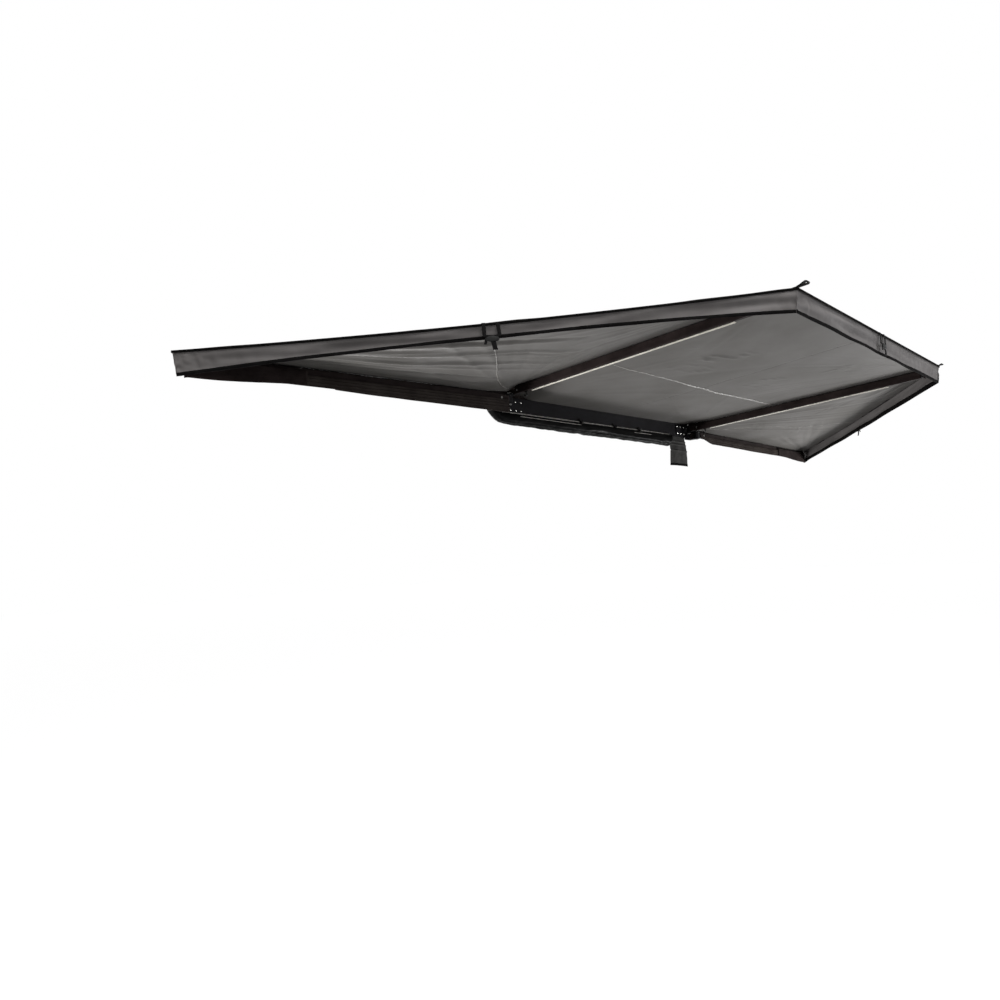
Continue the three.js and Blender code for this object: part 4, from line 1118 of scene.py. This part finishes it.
valance_parts = (
    ("front", "front", 0.0, 1.0, "front_valance", fold_with_side),
    ("outer_front_half", "outer", 0.0, 0.5, "outer_valance", fold_on_board),
    ("outer_rear_half", "outer", 0.5, 1.0, "outer_valance", fold_on_board),
    ("rear", "rear", 0.0, 1.0, "rear_valance", fold_with_side),
)
for name, edge, first, last, node, fold in valance_parts:
    end = "rear" if "rear" in name else "front"
    count = int(330 * (last - first)) + 1
    u, v = grid((first, last, count), (0, 1, 31))
    points = valance_surface(edge, u, v)
    drop = valance_depth(edge, u)
    uv = np.stack([u * edge_lengths[edge], v * drop], -1)
    cloth = skin(f"{name}_valance_cloth", points, uv)
    finished(cloth, valance_cloth, stands_for=node, wall=cloth_thickness)
    tapes = [rim_tape(f"{name}_rim_binding", edge, first, last, count),
             low_tape(f"{name}_valance_binding", edge, first, last, count)]
    for piece in [cloth, *tapes]:
        fold(piece, end)

# Storage bag. A long bag of black coated vinyl is bolted along the bottom of the board. Open, it
# is rolled up and tucked under the board in soft folds, and its bow rises to the front hinge.
bag_front, bag_rear = -1.000, 0.665
bag_depth = 0.056
bag_top = -0.0443
bag_front_height, bag_rear_height = 0.058, 0.076
bag_bow, bag_stern = 0.130, 0.030
bag_bow_rise = 0.018
bag_radius = 0.028
bag_tucks = ((3.7, 0.12, 0.0040), (4.5, 0.14, 0.0035))

# Bag vinyl: PVC-coated cloth, black with a dull shine, so its folds show as faint lines.
bag_vinyl = grained("black_pvc_coated_cloth", ("#090909", "#111111", 0.08), (0.002, 0.00015),
                    Roughness=0.32, IOR=1.52, Specular_IOR_Level=0.025)


def squarish(part, power):
    """Pushes a sine or cosine out, so that a circle becomes a square with round corners. The lower
    the power, the squarer it is."""
    return np.sign(part) * np.abs(part) ** power


def bag_surface(share, turn):
    """The bag. share runs along it, closer together at its ends, and turn goes round its section,
    a squashed oval with a flat top. Tucks deepen towards its underside."""
    x = mix(bag_front, bag_rear, (1 - np.cos(np.pi * share)) / 2)
    height = mix(bag_front_height, bag_rear_height, (x - bag_front) / (bag_rear - bag_front))
    from_end = np.clip(np.minimum((x - bag_front) / bag_bow, (bag_rear - x) / bag_stern), 0, 1)
    full = mix(0.12, 1, np.sqrt(1 - (1 - from_end) ** 2))
    lift = bag_bow_rise * eased(np.clip((-0.925 - x) / 0.075, 0, 1))
    roll, rise = squarish(np.cos(turn), 0.75), squarish(np.sin(turn), 0.85)
    girth = turn * bag_radius
    low_side = np.clip(-np.sin(turn) * 1.4 + 0.5, 0, 1)
    tucks = 0.0026 * ripples(x, girth, 301, 0.6, 0.09, 18, 6.0)
    tucks = tucks + 0.0013 * ripples(x, girth, 302, 0.12, 0.03, 18, 1.5)
    for at, width, depth in bag_tucks:
        tucks = tucks - depth * bell(turn, at, width)
    swell = 1 + low_side * from_end * tucks / bag_radius
    y = -bag_depth / 2 - 0.0003 + roll * bag_depth * (0.6 + 0.4 * full) / 2 * swell
    z = np.minimum(bag_top - height * full * (1 - rise * swell) / 2, bag_top) + lift
    return stacked(x, y, z)


points = bag_surface(
    np.linspace(0, 1, 420)[:, None], np.linspace(0, 2 * np.pi, 72, endpoint=False)[None]
)
bag = skin("rolled_storage_bag", points, closed=True, capped=True, turned=True)
finished(bag, bag_vinyl, "root", stands_for="storage_bag")

# Bag zip. A coarse moulded zip is sewn along the lower front edge of the board, with pale teeth
# on a dark tape. Its slider rests at the rear end, and three toggles hang on its line.
zip_start, zip_end = -0.905, 0.643
zip_top, zip_low = -0.0343, -0.0423
zip_back = -0.0223
tooth_pitch = 0.005
tooth_width, tooth_stagger = 0.0042, 0.0006
shoulder_turn = 2.75

# Zip teeth: moulded acetal, pale grey and smooth, so each tooth catches a small light.
zip_teeth = grained("grey_acetal_teeth", ("#a5a29d", "#cfccc6", 0.02), (0.001, 0.00003),
                    Roughness=0.35, IOR=1.48)

tape_profile = np.array([
    (zip_back, zip_low), (zip_back, zip_top), (zip_back - 0.0012, zip_top),
    (zip_back - 0.0014, (zip_top + zip_low) / 2), (zip_back - 0.0012, zip_low),
])
stations = np.linspace(zip_start, zip_end, 200)[:, None]
points = stacked(stations, tape_profile[None, :, 0], tape_profile[None, :, 1])
zip_tape = skin("bag_zip_tape", points, closed=True, capped=True, turned=True)
finished(zip_tape, sleeve_cloth, "root", stands_for="bag_zip")

tooth = np.array([(dx * tooth_width / 2, dy, dz) for dx in (-1, 1)
                  for dy, dz in ((0.0, -0.0034), (0.0, 0.0034), (-0.0022, 0.0029), (-0.0022, -0.0029))])
tooth_faces = [(0, 1, 2, 3), (7, 6, 5, 4), (0, 4, 5, 1), (1, 5, 6, 2), (2, 6, 7, 3), (3, 7, 4, 0)]
tooth_x = np.arange(zip_start + 0.003, zip_end - 0.003, tooth_pitch)
offsets = np.where(np.arange(len(tooth_x)) % 2, tooth_stagger, -tooth_stagger)
board_row = np.stack([tooth_x, np.full(len(tooth_x), zip_back - 0.0012),
                      (zip_top + zip_low) / 2 + offsets], -1)
# The zip's other half is sewn on the bag's front shoulder, and only stretches of it show.
share = np.arccos(1 - 2 * (tooth_x - bag_front) / (bag_rear - bag_front)) / np.pi
bag_row = bag_surface(share, np.full(len(share), shoulder_turn)) + (0, -0.0004, 0.0002)
bag_row = bag_row[((tooth_x > -0.80) & (tooth_x < -0.30)) | ((tooth_x > 0.22) & (tooth_x < 0.40))]
for name, places, size in (("bag_zip_teeth", board_row, 1), ("bag_zip_teeth_lower_row", bag_row, 0.3)):
    points, quads = many(tooth * (1, 1, size), tooth_faces, places)
    teeth = put_mesh(name, points, quads, smooth=False)
    finished(teeth, zip_teeth, "root")

dress("bag_zip_slider", zinc_plate, 0.0004)
for k in (1, 2, 3):
    dress(f"bag_toggle_{k}", black_nylon, 0.0003)

# Toggle tabs. Beside each toggle a slanted tab of black tape is sewn across the zip line.
tab_length, tab_width = 0.046, 0.014
tab_lean = math.radians(48)
tab_height, tab_face = -0.0385, -0.0262
for k, x in ((1, -0.267), (2, 0.053), (3, 0.318)):
    along = np.linspace(-0.5, 0.5, 12)[:, None] * tab_length
    profile = np.array([(-1, 0.0), (-1, 1), (1, 1), (1, 0.0)]) * (tab_width / 2, 0.0012)
    flat_x = along * math.cos(tab_lean) + profile[None, :, 0] * math.sin(tab_lean)
    flat_z = -along * math.sin(tab_lean) + profile[None, :, 0] * math.cos(tab_lean)
    out = tab_face - profile[None, :, 1] - 0.0015 * np.cos(along / tab_length * np.pi)
    points = stacked(x + flat_x, out, tab_height + flat_z)
    tab = skin(f"bag_toggle_{k}_tab", points, closed=True, capped=True)
    finished(tab, binding_tape, "root")

# End flap. The bag's rear end hangs open as a flap of the canopy cloth, with three pleats across it
# and a turned hem, sewn at its top under the board.
flap_inner, flap_back = 0.675, -0.011
flap_width, flap_height = 0.190, 0.197
flap_slant = 0.022
flap_wave = 0.007
flap_wall = 0.0016
hem_first, hem_last = 0.925, 1.004
pleat_depth, pleat_places = 0.0042, (0.16, 0.27, 0.48)


def flap_surface(u, v):
    """The flap. u runs across it, v down. It widens slightly, curls forward at its foot, and three
    shallow pleats cross it."""
    wave = np.sin(v * np.pi * 1.5) * flap_wave * v + np.sin(u * np.pi) * flap_wave * v
    pleats = sum(pleat_depth * np.exp(-(((v - at - 0.02 * u) / 0.022) ** 2)) for at in pleat_places)
    creases = 0.0022 * v * ripples(u * flap_width, v * flap_height, 401, 0.12, 0.03)
    x = flap_inner + flap_slant * v + (u + 0.06 * v * (2 * u - 1)) * flap_width
    y = flap_back - wave - pleats - creases
    z = bag_top - v * flap_height
    return stacked(x, y, z)


# Flap cloth: the canopy's ripstop in a darker dye, matt on both sides.
flap_cloth = woven("dark_grey_ripstop", ("#2c2c2b", "#3b3a39", 0.05), 0.005, 0.00012,
                   Roughness=0.7, Specular_IOR_Level=0.05)

u, v = grid((0, 1, 49), (0, 1, 73))
uv = np.stack([u * flap_width, v * flap_height], -1)
flap = skin("bag_end_flap_cloth", flap_surface(u, v), uv)
finished(flap, flap_cloth, "root", stands_for="bag_end_flap", wall=flap_wall)

# The flap's foot is bound with the black tape, about 16 mm deep.
u, v = grid((0, 1, 49), (hem_first, hem_last, 6))
front_side = flap_surface(u, v) + (0, -0.0008, 0)
points = np.concatenate([front_side, (flap_surface(u, v) + (0, 0.0024, 0))[:, ::-1]], 1)
uv = stacked(u[:, :1] * flap_width, np.linspace(0, 0.03, 12)[None])
flap_hem = skin("bag_end_flap_hem", points, uv, closed=True, capped=True)
finished(flap_hem, binding_tape, "root")

# Webbing yokes. At the middle of each outer edge a loop of webbing hangs over the valance and
# holds a buckle with its tail, for a guy line or the strap that ties the folded arms.
yoke_at = {"front": 0.4955, "outer": 0.5, "rear": 0.5}
yoke_half = 0.032
yoke_drop = 0.052
buckle_at = -0.062
buckle_half = 0.026
webbing_width = 0.014
webbing_thickness = 0.0018
cross_width, tail_width, short_tail_width = 0.010, 0.018, 0.011
yoke_off = 0.0032
squareness = 0.6

# Webbing: flat polypropylene, black and matt, ribbed across every 2 mm.
webbing = woven("black_polypropylene_webbing", ("#0a0a0a", "#141313", 0.02), 0.002, 0.0002,
                Roughness=0.75, Specular_IOR_Level=0.05)


def strap(name, middle, sideways, facing, width=webbing_width, thickness=webbing_thickness):
    """A flat strap along a line of points. sideways and facing are unit vectors, one for all of it
    or one at each point."""
    sideways, facing = (np.broadcast_to(part, middle.shape) for part in (sideways, facing))
    half, deep = width / 2, thickness / 2
    profile = np.array([(-1, -0.6), (-0.94, -1), (0.94, -1), (1, -0.6), (1, 0.6), (0.94, 1),
                        (-0.94, 1), (-1, 0.6)]) * (half, deep)
    rings = (middle[:, None] + sideways[:, None] * profile[None, :, :1]
             + facing[:, None] * profile[None, :, 1:])
    steps = np.linalg.norm(np.diff(middle, axis=0), axis=1)
    along = np.concatenate([[0], np.cumsum(steps)])[:, None]
    uv = stacked(along, profile[None, :, 0])
    return finished(skin(name, rings, uv, closed=True, capped=True), webbing)


for edge, node, end, fold in (
    ("front", "front_webbing_yoke", "front", fold_with_side),
    ("outer", "outer_webbing_yoke", "front", fold_on_board),
    ("rear", "rear_webbing_yoke", "rear", fold_with_side),
):
    top, inward = rim_places(edge, np.array([yoke_at[edge]]))
    top, inward = top[0], inward[0]
    run = np.array([inward[1], -inward[0], 0])
    up = np.array([0, 0, 1.0])
    face = top - inward * yoke_off

    def yoke_point(x, z, out=0.0):
        """Points on a yoke: x along the rim, z above its middle, out from its face."""
        x, z, out = (np.asarray(part, float)[..., None] for part in np.broadcast_arrays(x, z, out))
        return face + run * x + up * z - inward * out

    pieces = []
    fall = np.linspace(0.0, 1, 16)
    for side, lean in ((-1, 0.002), (1, 0.006)):
        line = yoke_point(side * (yoke_half - 0.006) + lean * fall, -(yoke_drop - 0.004) * fall,
                          0.0015 * np.sin(np.pi * fall))
        name = f"{edge}_yoke_strap_{'left' if side < 0 else 'right'}"
        pieces.append(strap(name, line, run, -inward))
    across = np.linspace(-1, 1, 24)
    line = yoke_point(
        across * (yoke_half + 0.001) + 0.003, -yoke_drop + 0.006 - 0.006 * (1 - across ** 2), 0.0022
    )
    pieces.append(strap(f"{edge}_yoke_cross_strap", line, up, inward, cross_width))
    # The buckle: a moulded body with bowed ends and a raised middle bar.
    x = np.linspace(-1, 1, 17)[:, None]
    turn = np.linspace(0, 2 * np.pi, 20, endpoint=False)[None]
    round_end = np.clip(1 - np.abs(x) ** 5, 0, 1) ** 0.5
    tall = (0.0115 - 0.0035 * np.abs(x)) * mix(0.35, 1, round_end)
    deep = 0.0042 * mix(0.3, 1, round_end) * (1 + 0.25 * bell(x, 0, 0.3))
    body = yoke_point(0.004 + x * buckle_half, buckle_at + tall * squarish(np.sin(turn), squareness),
                      0.0040 + deep * squarish(np.cos(turn), squareness))
    buckle = skin(f"{edge}_yoke_buckle", body, closed=True, capped=True)
    pieces.append(finished(buckle, black_nylon))
    line = yoke_point(
        0.006 + 0.008 * fall, buckle_at - 0.004 - 0.036 * fall, 0.003 + 0.003 * np.sin(3 * fall)
    )
    pieces.append(strap(f"{edge}_yoke_tail", line, run, -inward, tail_width))
    line = yoke_point(-0.016 - 0.007 * fall, buckle_at + 0.004 - 0.024 * fall, 0.003 + 0.002 * fall)
    pieces.append(strap(f"{edge}_yoke_short_tail", line, run, -inward, short_tail_width))
    for piece in pieces:
        fold(piece, end)
    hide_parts(node)

# Corner loops. A strip of webbing is sewn on top of each outer corner and stands in a curl, for
# the line that pulls the corner out.
loop_width = 0.022
loop_bend, loop_curl = 0.037, 0.0052
rear_loop_share = 0.42
for end in ("front", "rear"):
    arm = arms[f"{end}_outer"]
    low = cloth_over + 0.0006
    foot = np.linspace(-0.023, 0, 8)
    size = 1.0 if end == "front" else rear_loop_share
    bend = loop_bend * size
    turn = np.linspace(-np.pi / 2, np.pi / 2, 14)[1:]
    back = np.linspace(1, 0, 14)[1:]
    curl = loop_curl * size
    s = np.concatenate([foot, np.linspace(0, bend, 8)[1:], bend + curl * np.cos(turn), bend * back])
    z = np.concatenate([np.zeros(15), curl + curl * np.sin(turn), 2 * curl * eased(back) + 0.0016])
    line = on_arm(arm, arm["corner"] + s, 0.0, low + z + 0.001)
    step = np.gradient(line, axis=0)
    step /= np.linalg.norm(step, axis=1, keepdims=True)
    sideways = arm["sideways"]
    loop = strap(f"{end}_corner_webbing_loop", line, sideways, np.cross(step, sideways), loop_width)
    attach(loop, f"{end}_outer_arm")
    lie_down(loop, line[0] - 0.001 * arm["up"])
    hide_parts(f"{end}_corner_loop")
